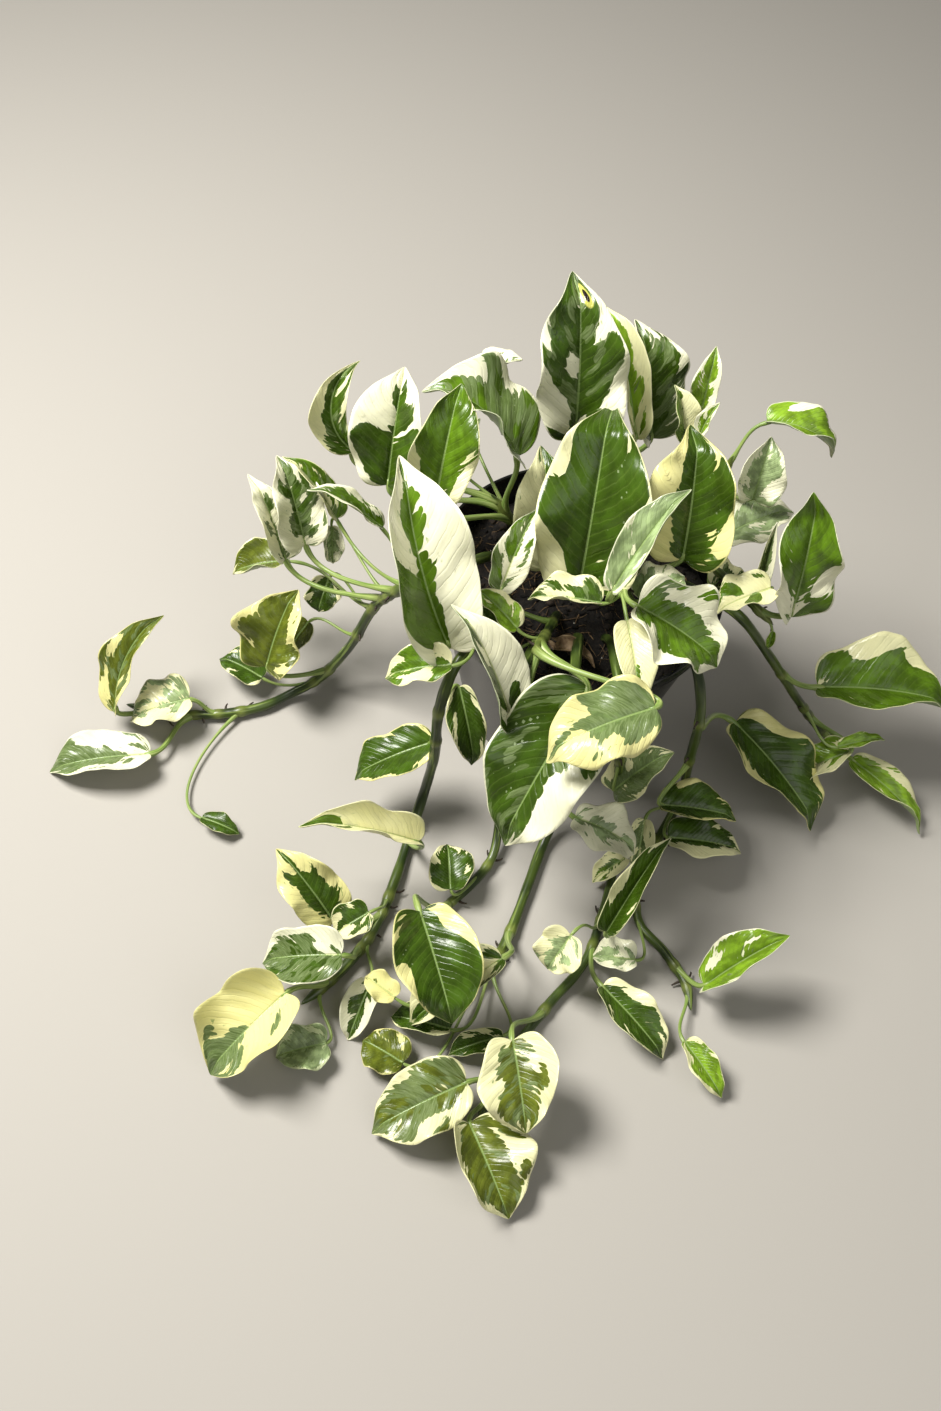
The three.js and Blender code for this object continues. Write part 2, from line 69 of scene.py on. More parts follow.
# Stems: the same radii and routes as the CAD part's, in millimetres. Their leaves stand and point as CAD's
# do, and some of them are curled more, or are a little larger.
STOUT_STEM = 3.4
USUAL_STEM = 3.1
SLIM_STEM = 2.7
STEMS = [
    dict(name="left_vine", radius=STOUT_STEM, route=[
        (-43, 20, 95), (-52, 8, 125), (-66, -14, 143), (-84, -27, 146), (-101, -25, 128), (-120, -14, 92),
        (-137, -14, 45), (-157, -20, 14), (-174, -29, 6), (-191, -41, 5), (-220, -51, 5), (-252, -54, 5),
        (-277, -52, 6),
    ], leaves=[
        small("left_narrow_leaf", 0.25, (-118, -1, 150), 180, 35, 51, 16, fold=35),
        small("left_fan_leaf_c", 0.3, (-148, 19, 130), 160, 50, 51, 22, fold=30),
        large("left_fan_leaf_a", 0.33, (-167, 13, 110), 125, 58, 58, 40, fold=22, curl=(45, 45), ripple=0.22),
        small("left_drooping_leaf", 0.36, (-152, 23, 118), -80, -60, 26, 16),
        large("left_fan_leaf_b", 0.38, (-180, 12, 95), 135, 60, 59, 28, fold=20, ripple=0.24, hook=90),
        small("left_shade_leaf", 0.43, (-154, 16, 75), -110, -50, 24, 24),
        small("left_side_leaf", 0.42, (-180, 23, 80), -170, -15, 40, 34),
        small("left_under_leaf", 0.51, (-165, -1, 50), -130, -45, 30, 24),
        large("left_yellow_leaf", 0.62, (-188, -29, 35), 65, 50, 56, 50, fold=22, curl=(50, 30), ripple=0.2),
        small("left_floor_leaf", 0.66, (-193, -24, 14), 160, 5, 33, 26),
        small("side_shoot_leaf", 0.8, (-211, -128, 8), -15, -5, 26, 14),
        large("far_left_leaf", 0.84, (-234, -52, 22), -158, -12, 42, 38),
        large("far_left_end_leaf", 0.88, (-252, -90, 12), -165, -5, 66, 38),
        large("far_left_upright_leaf", 0.94, (-279, -66, 18), 60, 45, 74, 28, fold=25, sway=40),
    ]),
    dict(name="front_left_vine", radius=STOUT_STEM, route=[
        (-34, -21, 95), (-43, -42, 125), (-55, -63, 139), (-66, -84, 138), (-72, -96, 115), (-73, -97, 62),
        (-77, -98, 22), (-82, -117, 6), (-88, -153, 5), (-96, -187, 5), (-106, -206, 5), (-119, -224, 5),
        (-131, -238, 6),
    ], leaves=[
        small("front_left_dark_leaf", 0.33, (-63, -68, 95), -65, -45, 51, 26),
        large("front_oval_leaf", 0.41, (-75, -86, 60), -160, -25, 57, 34),
        large("long_cream_leaf", 0.65, (-76, -146, 45), -170, 25, 75, 34, fold=35),
        small("lower_left_leaf_b", 0.77, (-99, -190, 36), -145, -20, 24, 26),
        large("lower_left_leaf_a", 0.8, (-119, -193, 25), 145, 40, 56, 36),
        small("spear_leaf", 0.85, (-93, -222, 14), -105, -20, 37, 24),
        large("lower_left_leaf_c", 0.87, (-110, -219, 40), -175, -15, 49, 38),
        large("lower_left_big_leaf", 0.94, (-138, -241, 30), -130, -18, 62, 60),
        small("lower_left_leaf_d", 0.96, (-113, -259, 8), -160, -5, 30, 32),
    ]),
    dict(name="front_centre_vine", radius=USUAL_STEM, route=[
        (-15, -26, 95), (-20, -48, 125), (-26, -72, 141), (-32, -92, 141), (-34, -102, 115),
        (-31, -103, 60), (-29, -110, 18), (-31, -131, 6), (-42, -150, 5), (-59, -171, 6),
    ], leaves=[
        large("dark_cupped_leaf", 0.97, (-69, -202, 72), -65, -20, 64, 54, curl=(40, 40)),
        small("shaded_leaf", 0.85, (-54, -161, 18), 100, 8, 30, 30),
    ]),
    dict(name="front_vine", radius=STOUT_STEM, route=[
        (3, -23, 95), (2, -46, 125), (0, -70, 140), (0, -90, 140), (3, -99, 115), (7, -98, 58),
        (6, -101, 18), (0, -117, 6), (-7, -145, 5), (-15, -176, 5), (-22, -196, 5), (-32, -214, 7),
    ], leaves=[
        large(
            "pale_drooping_leaf", 0.43, (13, -127, 62), -15, -20, 47, 34,
            bend=60, curl=(-40, -10), ripple=0.26),
        large("boat_leaf", 0.88, (-21, -211, 42), -145, -25, 68, 38, fold=30),
        small("yellow_lobe_leaf", 0.93, (-78, -233, 22), 150, 0, 22, 20),
        small("lower_dark_leaf_a", 0.94, (-45, -244, 12), 170, -10, 37, 26),
        small("lower_dark_leaf_b", 0.95, (-15, -245, 14), -160, -15, 34, 18),
        small("olive_leaf", 0.97, (-69, -265, 8), 155, -5, 28, 28),
    ]),
    dict(name="front_long_vine", radius=USUAL_STEM, route=[
        (18, -21, 95), (20, -44, 125), (22, -68, 139), (25, -88, 139), (30, -97, 115), (38, -97, 58),
        (45, -100, 18), (45, -121, 6), (39, -159, 5), (30, -191, 5), (11, -219, 5), (-7, -248, 5),
        (-20, -279, 5), (-24, -293, 6),
    ], leaves=[
        small("front_curled_leaf", 0.34, (35, -105, 60), 25, 45, 45, 34),
        small("pale_curled_leaf", 0.66, (17, -191, 40), -125, -40, 26, 32),
        large("lower_right_leaf_a", 0.7, (39, -211, 20), -40, -15, 55, 32),
        large("bottom_round_leaf", 0.82, (-11, -256, 40), -75, -15, 50, 50),
        large("bottom_left_leaf", 0.92, (-33, -276, 22), -150, -12, 60, 42),
        small("bottom_under_leaf", 0.94, (-12, -291, 8), -60, -5, 24, 20),
        large("bottom_leaf", 0.96, (-29, -296, 16), -60, -8, 54, 50),
    ]),
    dict(name="right_front_vine", radius=USUAL_STEM, route=[
        (42, -6, 95), (48, -26, 125), (56, -48, 141), (66, -66, 142), (75, -76, 116), (80, -78, 60),
        (82, -82, 20), (70, -108, 6), (59, -140, 5), (62, -163, 5), (77, -179, 5), (90, -198, 5),
        (93, -214, 6),
    ], leaves=[
        large("right_dark_leaf", 0.36, (112, -36, 45), -42, -20, 86, 54),
        large("front_dark_leaf", 0.47, (67, -99, 40), 0, -5, 50, 34),
        small("front_tiny_leaf_b", 0.58, (59, -105, 30), -95, -35, 34, 20),
        small("front_cream_leaf", 0.56, (75, -111, 22), 0, -5, 49, 32),
        small("front_tiny_leaf_a", 0.67, (50, -124, 14), -140, -15, 26, 20),
        large("front_edge_leaf", 0.77, (38, -184, 36), 57, 45, 68, 28, fold=30),
        small("pale_small_leaf", 0.8, (58, -190, 14), 178, -8, 26, 26),
        large("lower_right_leaf_b", 0.92, (98, -203, 20), 25, 45, 60, 34, fold=22, curl=(20, 60), ripple=0.2),
        small("lower_right_leaf_c", 0.96, (88, -236, 14), -50, -10, 37, 20),
    ]),
    dict(name="right_vine", radius=USUAL_STEM, route=[
        (54, 23, 95), (60, 4, 125), (72, -16, 142), (90, -28, 143), (116, -28, 110), (146, -22, 62),
        (172, -20, 26), (194, -23, 8),
    ], leaves=[
        large("right_large_leaf", 0.6, (158, -19, 70), 0, 0, 87, 66),
        small("right_strap_leaf", 0.78, (177, -45, 45), 15, 10, 31, 12),
        large("right_twisted_leaf", 0.82, (186, -44, 40), -165, -40, 50, 30, twist=40),
        large("right_end_leaf", 0.9, (192, -40, 25), -35, -15, 66, 28, twist=40),
    ]),
    dict(name="back_right_stem", radius=SLIM_STEM, route=[
        (50, 50, 95), (57, 46, 125), (68, 38, 160), (72, 35, 185), (74, 34, 205),
    ], leaves=[
        large("back_right_leaf", 0.53, (78, 14, 160), 25, 15, 46, 36),
        small("back_pale_leaf", 0.71, (91, 27, 180), 80, 65, 38, 32),
        small("arching_leaf", 0.95, (88, 43, 225), -10, -15, 48, 30, bend=70, fold=24),
    ]),
    dict(name="right_side_stem", radius=SLIM_STEM, route=[
        (59, 42, 95), (66, 24, 125), (80, -2, 146), (96, -24, 150), (111, -32, 142),
    ], leaves=[
        small("shade_leaf", 0.49, (76, -6, 140), 20, 5, 24, 22),
        small("right_narrow_leaf", 0.76, (98, -20, 145), 80, 60, 50, 16, fold=40),
        small("right_cream_leaf", 0.7, (103, -27, 168), -155, -15, 34, 30),
        large("right_tall_leaf", 0.9, (119, -31, 150), 95, 65, 77, 42, twist=50, ripple=0.24, hook=-60),
        small("right_bud_leaf", 0.96, (111, -35, 140), -90, -65, 12, 6),
    ]),
    dict(name="centre_back_stem", radius=USUAL_STEM, route=[
        (13, 62, 95), (11, 50, 125), (8, 42, 160), (6, 40, 190),
    ], leaves=[
        large("centre_pale_leaf", 0.45, (-21, -9, 140), 105, 55, 73, 40),
        large("centre_leaf", 0.6, (-2, -30, 152), 88, 55, 108, 68, ripple=0.2, waves=2.4, hook=90),
        large("top_right_leaf", 0.8, (33, 72, 174), 122, 60, 72, 48, fold=20, ripple=0.2),
        large("top_leaf", 0.88, (-15, 36, 203), 105, 65, 92, 54, ripple=0.18, hook=80),
        large("top_rear_leaf", 0.95, (21, 47, 196), 120, 45, 80, 30, fold=30),
    ]),
    dict(name="centre_right_stem", radius=USUAL_STEM, route=[
        (27, 31, 95), (26, 16, 125), (24, -12, 150), (21, -42, 166),
    ], leaves=[
        large("right_upright_leaf", 0.66, (54, -11, 165), 98, 62, 78, 60, ripple=0.2, hook=90),
        small("under_leaf", 0.7, (32, -38, 158), 35, 15, 30, 32),
        small("drooping_cream_leaf", 0.99, (24, -60, 166), -75, -25, 52, 24, twist=50, ripple=0.22),
        small("left_pointing_leaf", 0.97, (9, -51, 167), 175, -8, 42, 27, fold=24),
        small("small_folded_leaf", 0.85, (47, 48, 200), 125, 60, 32, 20, fold=40),
        large("pale_rolled_leaf", 0.7, (12, -60, 190), 50, 45, 68, 26, curl=(60, 60)),
        large("right_centre_leaf", 0.86, (28, -57, 176), -20, -20, 58, 56, ripple=0.2),
        small("young_leaf", 0.95, (54, 57, 215), 85, 70, 37, 18),
        small("young_lower_leaf", 0.88, (54, 44, 205), 40, 70, 25, 12),
    ]),
    dict(name="left_back_stem", radius=USUAL_STEM, route=[
        (-26, 35, 95), (-34, 24, 125), (-46, 18, 150), (-58, 21, 165),
    ], leaves=[
        large("left_tall_leaf", 0.7, (-87, -14, 192), 80, 55, 66, 40),
        large("left_back_leaf", 0.85, (-117, 12, 172), 85, 52, 68, 52, fold=26),
        large("left_arching_leaf", 0.8, (-45, 24, 195), 172, 35, 72, 58, bend=60, roll=-15),
        small("left_small_leaf", 0.9, (-78, 33, 175), 50, 65, 30, 18),
        small("crumpled_leaf", 0.75, (-74, 84, 190), 10, 40, 32, 28),
        large("hooked_leaf", 0.9, (-138, 27, 180), 93, 65, 62, 28, sway=110, hook=110),
    ]),
    dict(name="left_rim_stem", radius=USUAL_STEM, route=[
        (-36, 2, 95), (-45, -20, 125), (-56, -42, 148), (-66, -56, 165),
    ], leaves=[
        small("left_lower_leaf", 0.7, (-68, -94, 153), -175, -20, 40, 26),
        large("left_big_leaf", 0.8, (-70, -78, 146), 120, 50, 112, 68, sway=30, fold=24, ripple=0.2),
    ]),
    dict(name="front_stem", radius=USUAL_STEM, route=[
        (-7, -6, 95), (-12, -28, 120), (-18, -58, 142), (-24, -80, 155),
    ], leaves=[
        large(
            "front_wide_leaf", 0.97, (40, -116, 168), -155, -15, 66, 44,
            curl=(-30, 20), ripple=0.24, hook=90),
        large("inner_white_leaf", 0.5, (-46, -37, 150), 62, 55, 52, 24),
        small("inner_left_leaf", 0.75, (-44, -72, 146), 130, 35, 24, 22),
        large("front_big_leaf", 0.88, (8, -96, 148), -120, -40, 104, 62),
        large("white_leaf", 0.8, (-30, -107, 119), 142, 55, 84, 38, fold=30),
        small("green_strip_leaf", 0.8, (-35, -68, 158), 150, 25, 32, 20),
    ]),
]

# Greens and pale colours of the variegation, linear
GREENS = {
    "deep": (0.025, 0.056, 0.002),
    "mid": (0.06, 0.122, 0.003),
    "bright": (0.15, 0.26, 0.013),
    "grey": (0.1, 0.145, 0.05),
    "silver": (0.25, 0.32, 0.155),
    "olive": (0.085, 0.1, 0.009),
}
PALES = {
    "white": (0.8, 0.79, 0.58),
    "cream": (0.78, 0.76, 0.44),
    "yellow": (0.72, 0.68, 0.29),
    "mist": (0.5, 0.56, 0.32),
}

# How each leaf is variegated: its green, its pale colour, and five shares from -1 to 1.
# green: how much of it is green; lean: greener to the right (+) or left (-); tip: greener towards the
# tip (+) or base (-); core: greener along the midrib (+) or the margins (-); grey: how much of the green
# is grey-green.
LOOKS = {
    "top_leaf": ("deep", "white", 0.12, -0.5, 0.2, 0.3, 0.1),
    "top_rear_leaf": ("bright", "cream", 0, -0.3, 0.2, 0.4, -0.5),
    "top_right_leaf": ("deep", "white", 0.25, 0.2, -0.2, 0.5, 0.3),
    "centre_leaf": ("deep", "cream", 0.5, 0.05, 0.1, 0.35, -0.8),
    "centre_pale_leaf": ("deep", "cream", -0.15, 0.6, 0.1, -0.1, -0.5),
    "right_upright_leaf": ("deep", "yellow", 0.2, 0.35, -0.1, 0.6, -0.5),
    "pale_rolled_leaf": ("silver", "white", 0.35, 0, 0.4, 0.3, -0.9),
    "right_centre_leaf": ("mid", "white", 0.15, -0.1, -0.2, 0.7, -0.5),
    "left_pointing_leaf": ("deep", "cream", -0.15, 0.3, -0.3, 0.5, 0),
    "drooping_cream_leaf": ("mid", "cream", -0.5, -0.3, 0.2, 0.2, -0.3),
    "young_leaf": ("bright", "white", 0.1, -0.3, 0, 0.6, -0.5),
    "young_lower_leaf": ("bright", "white", -0.1, 0.3, 0, 0.5, -0.5),
    "small_folded_leaf": ("mid", "cream", 0, -0.8, 0, 0, -0.5),
    "under_leaf": ("silver", "white", 0.2, 0.1, -0.3, 0.3, 0),
    "shade_leaf": ("deep", "cream", 0, 0.2, 0, 0.4, 0),
    "arching_leaf": ("bright", "white", 0.55, 0.1, -0.55, 0.3, -0.9),
    "back_pale_leaf": ("silver", "white", 0, 0.2, 0, 0.4, -0.9),
    "back_right_leaf": ("silver", "white", 0.15, 0.1, -0.1, 0.6, -0.3),
    "right_tall_leaf": ("mid", "white", 0.4, 0.1, 0.55, 0.3, -0.7),
    "right_cream_leaf": ("mid", "cream", -0.45, 0.3, 0.2, 0, -0.5),
    "right_narrow_leaf": ("grey", "white", 0, 0.1, 0, 0.5, 0.5),
    "right_bud_leaf": ("bright", "cream", 0.9, 0, 0, 0, -0.9),
    "right_large_leaf": ("mid", "cream", 0.45, 0.35, 0.25, 0.2, -0.8),
    "right_twisted_leaf": ("bright", "cream", -0.05, 0.6, 0, 0, -0.6),
    "right_strap_leaf": ("bright", "cream", 0.6, 0, 0, 0.3, -0.6),
    "right_end_leaf": ("bright", "cream", 0.25, 0.4, 0.1, 0.3, -0.7),
    "right_dark_leaf": ("deep", "yellow", 0.6, 0, 0, 0.6, -0.9),
    "front_dark_leaf": ("deep", "yellow", 0.5, -0.1, -0.1, 0.5, -0.9),
    "front_cream_leaf": ("deep", "cream", 0, -0.4, -0.4, 0.3, -0.5),
    "front_curled_leaf": ("grey", "cream", 0.3, 0.3, 0, 0.3, 0.6),
    "front_wide_leaf": ("grey", "yellow", 0.05, -0.2, -0.5, 0.4, 0.4),
    "front_big_leaf": ("deep", "white", 0.5, 0.3, -0.2, 0.35, 0.1),
    "white_leaf": ("deep", "white", -0.35, -0.8, -0.1, 0, -0.4),
    "front_left_dark_leaf": ("deep", "cream", 0.45, 0.1, 0.2, 0.5, -0.7),
    "green_strip_leaf": ("bright", "cream", 0.35, -0.5, 0, 0.2, -0.7),
    "inner_left_leaf": ("deep", "cream", 0, 0.4, 0, 0.2, -0.5),
    "inner_white_leaf": ("mid", "white", -0.05, -0.4, 0.1, 0.1, 0.4),
    "left_tall_leaf": ("mid", "cream", 0.45, 0, 0.3, 0.5, -0.7),
    "left_back_leaf": ("deep", "white", -0.1, 0.1, -0.6, 0.4, -0.4),
    "left_arching_leaf": ("mid", "white", 0.5, -0.3, -0.2, 0.4, 0.35),
    "left_small_leaf": ("grey", "mist", 0.2, 0, 0, 0.3, 0.8),
    "crumpled_leaf": ("grey", "white", -0.1, 0.1, 0, 0.3, 0.7),
    "hooked_leaf": ("deep", "cream", 0.1, 0.4, -0.2, 0.3, 0),
    "left_big_leaf": ("mid", "white", -0.72, 0.05, 0, 0.85, -0.6),
    "left_lower_leaf": ("mid", "cream", 0, -0.5, -0.1, 0.2, -0.7),
    "left_narrow_leaf": ("mid", "white", 0.2, 0, 0, 0.6, 0.2),
    "left_fan_leaf_a": ("deep", "white", -0.15, 0.2, 0.1, 0.4, 0.3),
    "left_fan_leaf_b": ("deep", "white", -0.3, 0, -0.2, 0.3, 0.3),
    "left_fan_leaf_c": ("mid", "cream", 0, 0.5, 0, 0.2, 0.1),
    "left_side_leaf": ("olive", "cream", 0.35, 0.1, -0.2, 0.2, -0.2),
    "left_drooping_leaf": ("silver", "white", 0, 0, 0, 0.3, 0),
    "left_shade_leaf": ("deep", "cream", 0.5, 0, 0, 0.6, -0.6),
    "left_under_leaf": ("olive", "cream", 0.7, 0, 0, 0.4, -0.5),
    "left_yellow_leaf": ("olive", "yellow", 0.25, -0.2, -0.1, 0.5, -0.4),
    "left_floor_leaf": ("deep", "cream", 0.6, 0, 0, 0.4, -0.5),
    "far_left_upright_leaf": ("olive", "yellow", 0.3, 0, 0.5, 0.2, 0.1),
    "far_left_leaf": ("silver", "cream", -0.15, 0.4, -0.1, 0.3, -0.2),
    "far_left_end_leaf": ("grey", "white", 0, 0.1, 0.3, 0.4, 0.5),
    "side_shoot_leaf": ("deep", "cream", 0.7, 0, 0, 0.2, -0.6),
    "front_oval_leaf": ("deep", "yellow", 0.6, 0, 0, 0.6, -0.8),
    "long_cream_leaf": ("mid", "cream", -0.45, 0.1, 0.45, 0.1, -0.5),
    "lower_left_leaf_a": ("deep", "yellow", -0.1, 0.1, 0.1, 0.7, -0.5),
    "lower_left_leaf_b": ("deep", "cream", 0, 0.2, -0.2, 0.2, -0.5),
    "lower_left_leaf_c": ("deep", "white", 0.15, -0.4, 0.1, 0.3, 0.4),
    "lower_left_big_leaf": ("grey", "yellow", -0.15, 0, 0.5, 0.3, 0.7),
    "lower_left_leaf_d": ("silver", "mist", 0.3, 0, 0, 0.3, 0),
    "spear_leaf": ("deep", "white", -0.2, 0, 0, 0.7, -0.3),
    "dark_cupped_leaf": ("deep", "yellow", 0.75, -0.3, -0.1, 0.3, -0.7),
    "shaded_leaf": ("deep", "cream", 0.3, 0.2, 0, 0.4, -0.7),
    "boat_leaf": ("deep", "cream", -0.1, -0.2, -0.4, 0.1, -0.3),
    "yellow_lobe_leaf": ("olive", "yellow", -0.6, 0, 0, 0.1, 0),
    "lower_dark_leaf_a": ("deep", "cream", 0.35, 0.2, 0.1, 0.2, -0.8),
    "lower_dark_leaf_b": ("deep", "cream", 0.35, -0.2, 0.1, 0.2, -0.8),
    "olive_leaf": ("olive", "yellow", 0.4, -0.1, 0, 0.4, -0.2),
    "bottom_left_leaf": ("olive", "cream", 0.2, 0.2, 0.1, 0.4, 0.4),
    "bottom_round_leaf": ("olive", "cream", 0.05, 0.1, 0.1, 0.6, 0.1),
    "bottom_leaf": ("olive", "cream", 0.2, -0.1, 0, 0.6, -0.1),
    "bottom_under_leaf": ("olive", "cream", -0.4, 0, 0, 0.2, 0),
    "pale_drooping_leaf": ("silver", "white", -0.3, 0.1, -0.1, 0.4, -0.6),
    "pale_curled_leaf": ("silver", "cream", -0.1, -0.1, 0.3, 0.5, -0.4),
    "front_tiny_leaf_a": ("mid", "cream", -0.2, 0.2, 0.2, 0.2, -0.2),
    "front_tiny_leaf_b": ("grey", "cream", -0.1, 0.2, 0.2, 0.2, 0.3),
    "front_edge_leaf": ("deep", "cream", 0.5, 0.2, 0, 0.5, -0.7),
    "pale_small_leaf": ("silver", "white", -0.1, 0, 0, 0.4, -0.6),
    "lower_right_leaf_a": ("deep", "cream", 0.3, 0.4, 0, 0.4, -0.6),
    "lower_right_leaf_b": ("bright", "white", 0.25, 0.1, 0.1, 0.3, -0.3),
    "lower_right_leaf_c": ("bright", "cream", 0.3, -0.2, 0, 0.4, -0.5),
}

# Patches that a leaf shows for certain: place along the blade, place across it (left is negative), radius
# as a share of the length, and how strongly green (+) or pale (-) it is there. Each leaf has up to two.
PATCHES = {
    "top_leaf": ((0.2, -0.9, 0.2, -1.5), (0.5, 0.55, 0.13, 0.8)),
    "centre_leaf": ((0.6, -1.0, 0.12, -1.9), (0.1, -0.9, 0.16, -1.7)),
    "right_upright_leaf": ((0.7, -0.9, 0.19, -1.5), (0.2, 1.0, 0.12, -1.3)),
    "left_big_leaf": ((0.3, -0.6, 0.23, 2.0), (0.8, 0.0, 0.12, 0.7)),
    "left_tall_leaf": ((0.2, -1.0, 0.15, -1.5), (0.15, 1.0, 0.14, -1.5)),
    "left_back_leaf": ((0.28, -0.45, 0.17, 1.2), (0.34, 0.5, 0.14, 1.2)),
    "right_tall_leaf": ((0.3, 0.65, 0.1, -1.7), (0.2, -0.7, 0.11, -1.7)),
    "right_cream_leaf": ((0.4, -0.35, 0.14, 1.6), (0.62, 0.5, 0.12, 1.6)),
    "right_dark_leaf": ((0.12, -0.95, 0.14, -1.4), (0.6, -1.05, 0.1, -1.4)),
    "front_dark_leaf": ((0.5, 1.0, 0.12, -1.4), (0.2, -1.0, 0.1, -1.3)),
    "front_big_leaf": ((0.6, -1.05, 0.27, -1.7), (0.2, 0.1, 0.2, 0.7)),
    "front_wide_leaf": ((0.25, 0.35, 0.24, 1.2), (0.75, -0.4, 0.17, -1.0)),
    "white_leaf": ((0.5, -1.0, 0.2, 1.0), (0.3, 0.4, 0.1, 0.9)),
    "right_large_leaf": ((0.3, -1.0, 0.15, -1.5), (0.62, -0.9, 0.1, -1.2)),
    "right_centre_leaf": ((0.5, 0.25, 0.22, 0.9), (0.6, -0.95, 0.14, -1.3)),
    "arching_leaf": ((0.95, 0.0, 0.13, -1.6), (0.25, -0.8, 0.1, -1.5)),
    "lower_left_leaf_a": ((0.45, 0.0, 0.16, 0.7), (0.8, 0.5, 0.15, -0.9)),
    "lower_left_leaf_b": ((0.4, 0.2, 0.16, 1.3), (0.8, -0.5, 0.2, -0.9)),
    "lower_left_big_leaf": ((0.35, 0.6, 0.26, -0.8), (0.85, 0.1, 0.15, 0.7)),
    "dark_cupped_leaf": ((0.12, -1.0, 0.2, -2.0), (0.4, 0.95, 0.12, -1.4)),
    "boat_leaf": ((0.85, 0.0, 0.16, 1.4), (0.3, 0.0, 0.2, -0.8)),
    "long_cream_leaf": ((0.9, 0.3, 0.14, 1.3), (0.35, 0.0, 0.3, -0.7)),
    "left_lower_leaf": ((0.45, 0.6, 0.16, 1.3), (0.4, -0.8, 0.2, -1.0)),
}

# Dark spots with a yellow ring: place along the blade, place across it, radius as a share of its width
SPOTS = {
    "top_leaf": (0.86, 0.35, 0.06),
}

# No two blades are alike: each is wound and curled by this many more degrees, by chance.
MOST_CHANCE_TWIST = 22
CHANCE_CURL = (-28, 42)

BLADE_MIN_HALF_WIDTH = 0.25
BLADE_THICKNESS = 0.6
LOWEST = 0.2
MIDRIB_DEPTH = 0.9
# Small leaves, which CAD joins to their stem (True), have a coarser mesh and thinner stalks.
ROWS_ALONG = {True: 30, False: 46}
COLUMNS_EACH_SIDE = {True: 9, False: 13}
BROAD_VEINS = 7
FINE_VEINS = 17
VEIN_LEAN = 0.27
VEIN_CURVE = 1.15
PETIOLE_RADIUS = {True: 1.15, False: 1.6}
PETIOLE_SIDES = 12
PETIOLE_LONGEST_REACH = 30
PETIOLE_INTO_BLADE = 0.05


# ---------------------------------------------------------------- vectors, all on arrays of rows
def unit(v):
    return v / np.maximum(np.linalg.norm(v, axis=-1, keepdims=True), 1e-12)


def turned(v, axis, angle):
    """v turned about axis by angle, in radians; each may be one row or many."""
    c = np.cos(angle)[..., None]
    s = np.sin(angle)[..., None]
    return v * c + np.cross(axis, v) * s + axis * np.sum(axis * v, axis=-1, keepdims=True) * (1 - c)


def smooth(low, high, x):
    t = np.clip((x - low) / (high - low), 0, 1)
    return t * t * (3 - 2 * t)


def radians(angle):
    return np.asarray(np.radians(angle), float)


# ---------------------------------------------------------------- blades
def blade_frame(leaf):
    """forward along the blade at its middle, side to its right, normal out of its face."""
    heading, pitch = math.radians(leaf["heading"]), math.radians(leaf["pitch"])
    forward = np.array([
        math.cos(pitch) * math.cos(heading), math.cos(pitch) * math.sin(heading), math.sin(pitch)])
    side = np.array([math.sin(heading), -math.cos(heading), 0.0])
    side = turned(side, forward, radians(-leaf["roll"]))
    return forward, side, np.cross(side, forward)


def arc(angle, u):
    """How far along and above its chord a curve of that total angle is, at u from 0 to 1."""
    a = math.radians(angle) or 1e-6
    along = (math.sin(a / 2) - np.sin(a / 2 - a * u)) / a
    above = (np.cos(a / 2 - a * u) - math.cos(a / 2)) / a
    return along, above


def outline(u):
    """Half width as a share of the greatest: round at the base, full, then drawn out to the tip."""
    body = np.sin(np.pi * np.clip(u, 0, 1) ** 0.74) ** 0.68
    return body * (1 - 0.4 * smooth(0.78, 1.0, u))


def vein_place(u, s):
    """Where a point lies across the lateral veins, which lean towards the tip."""
    return u - VEIN_LEAN * s ** VEIN_CURVE


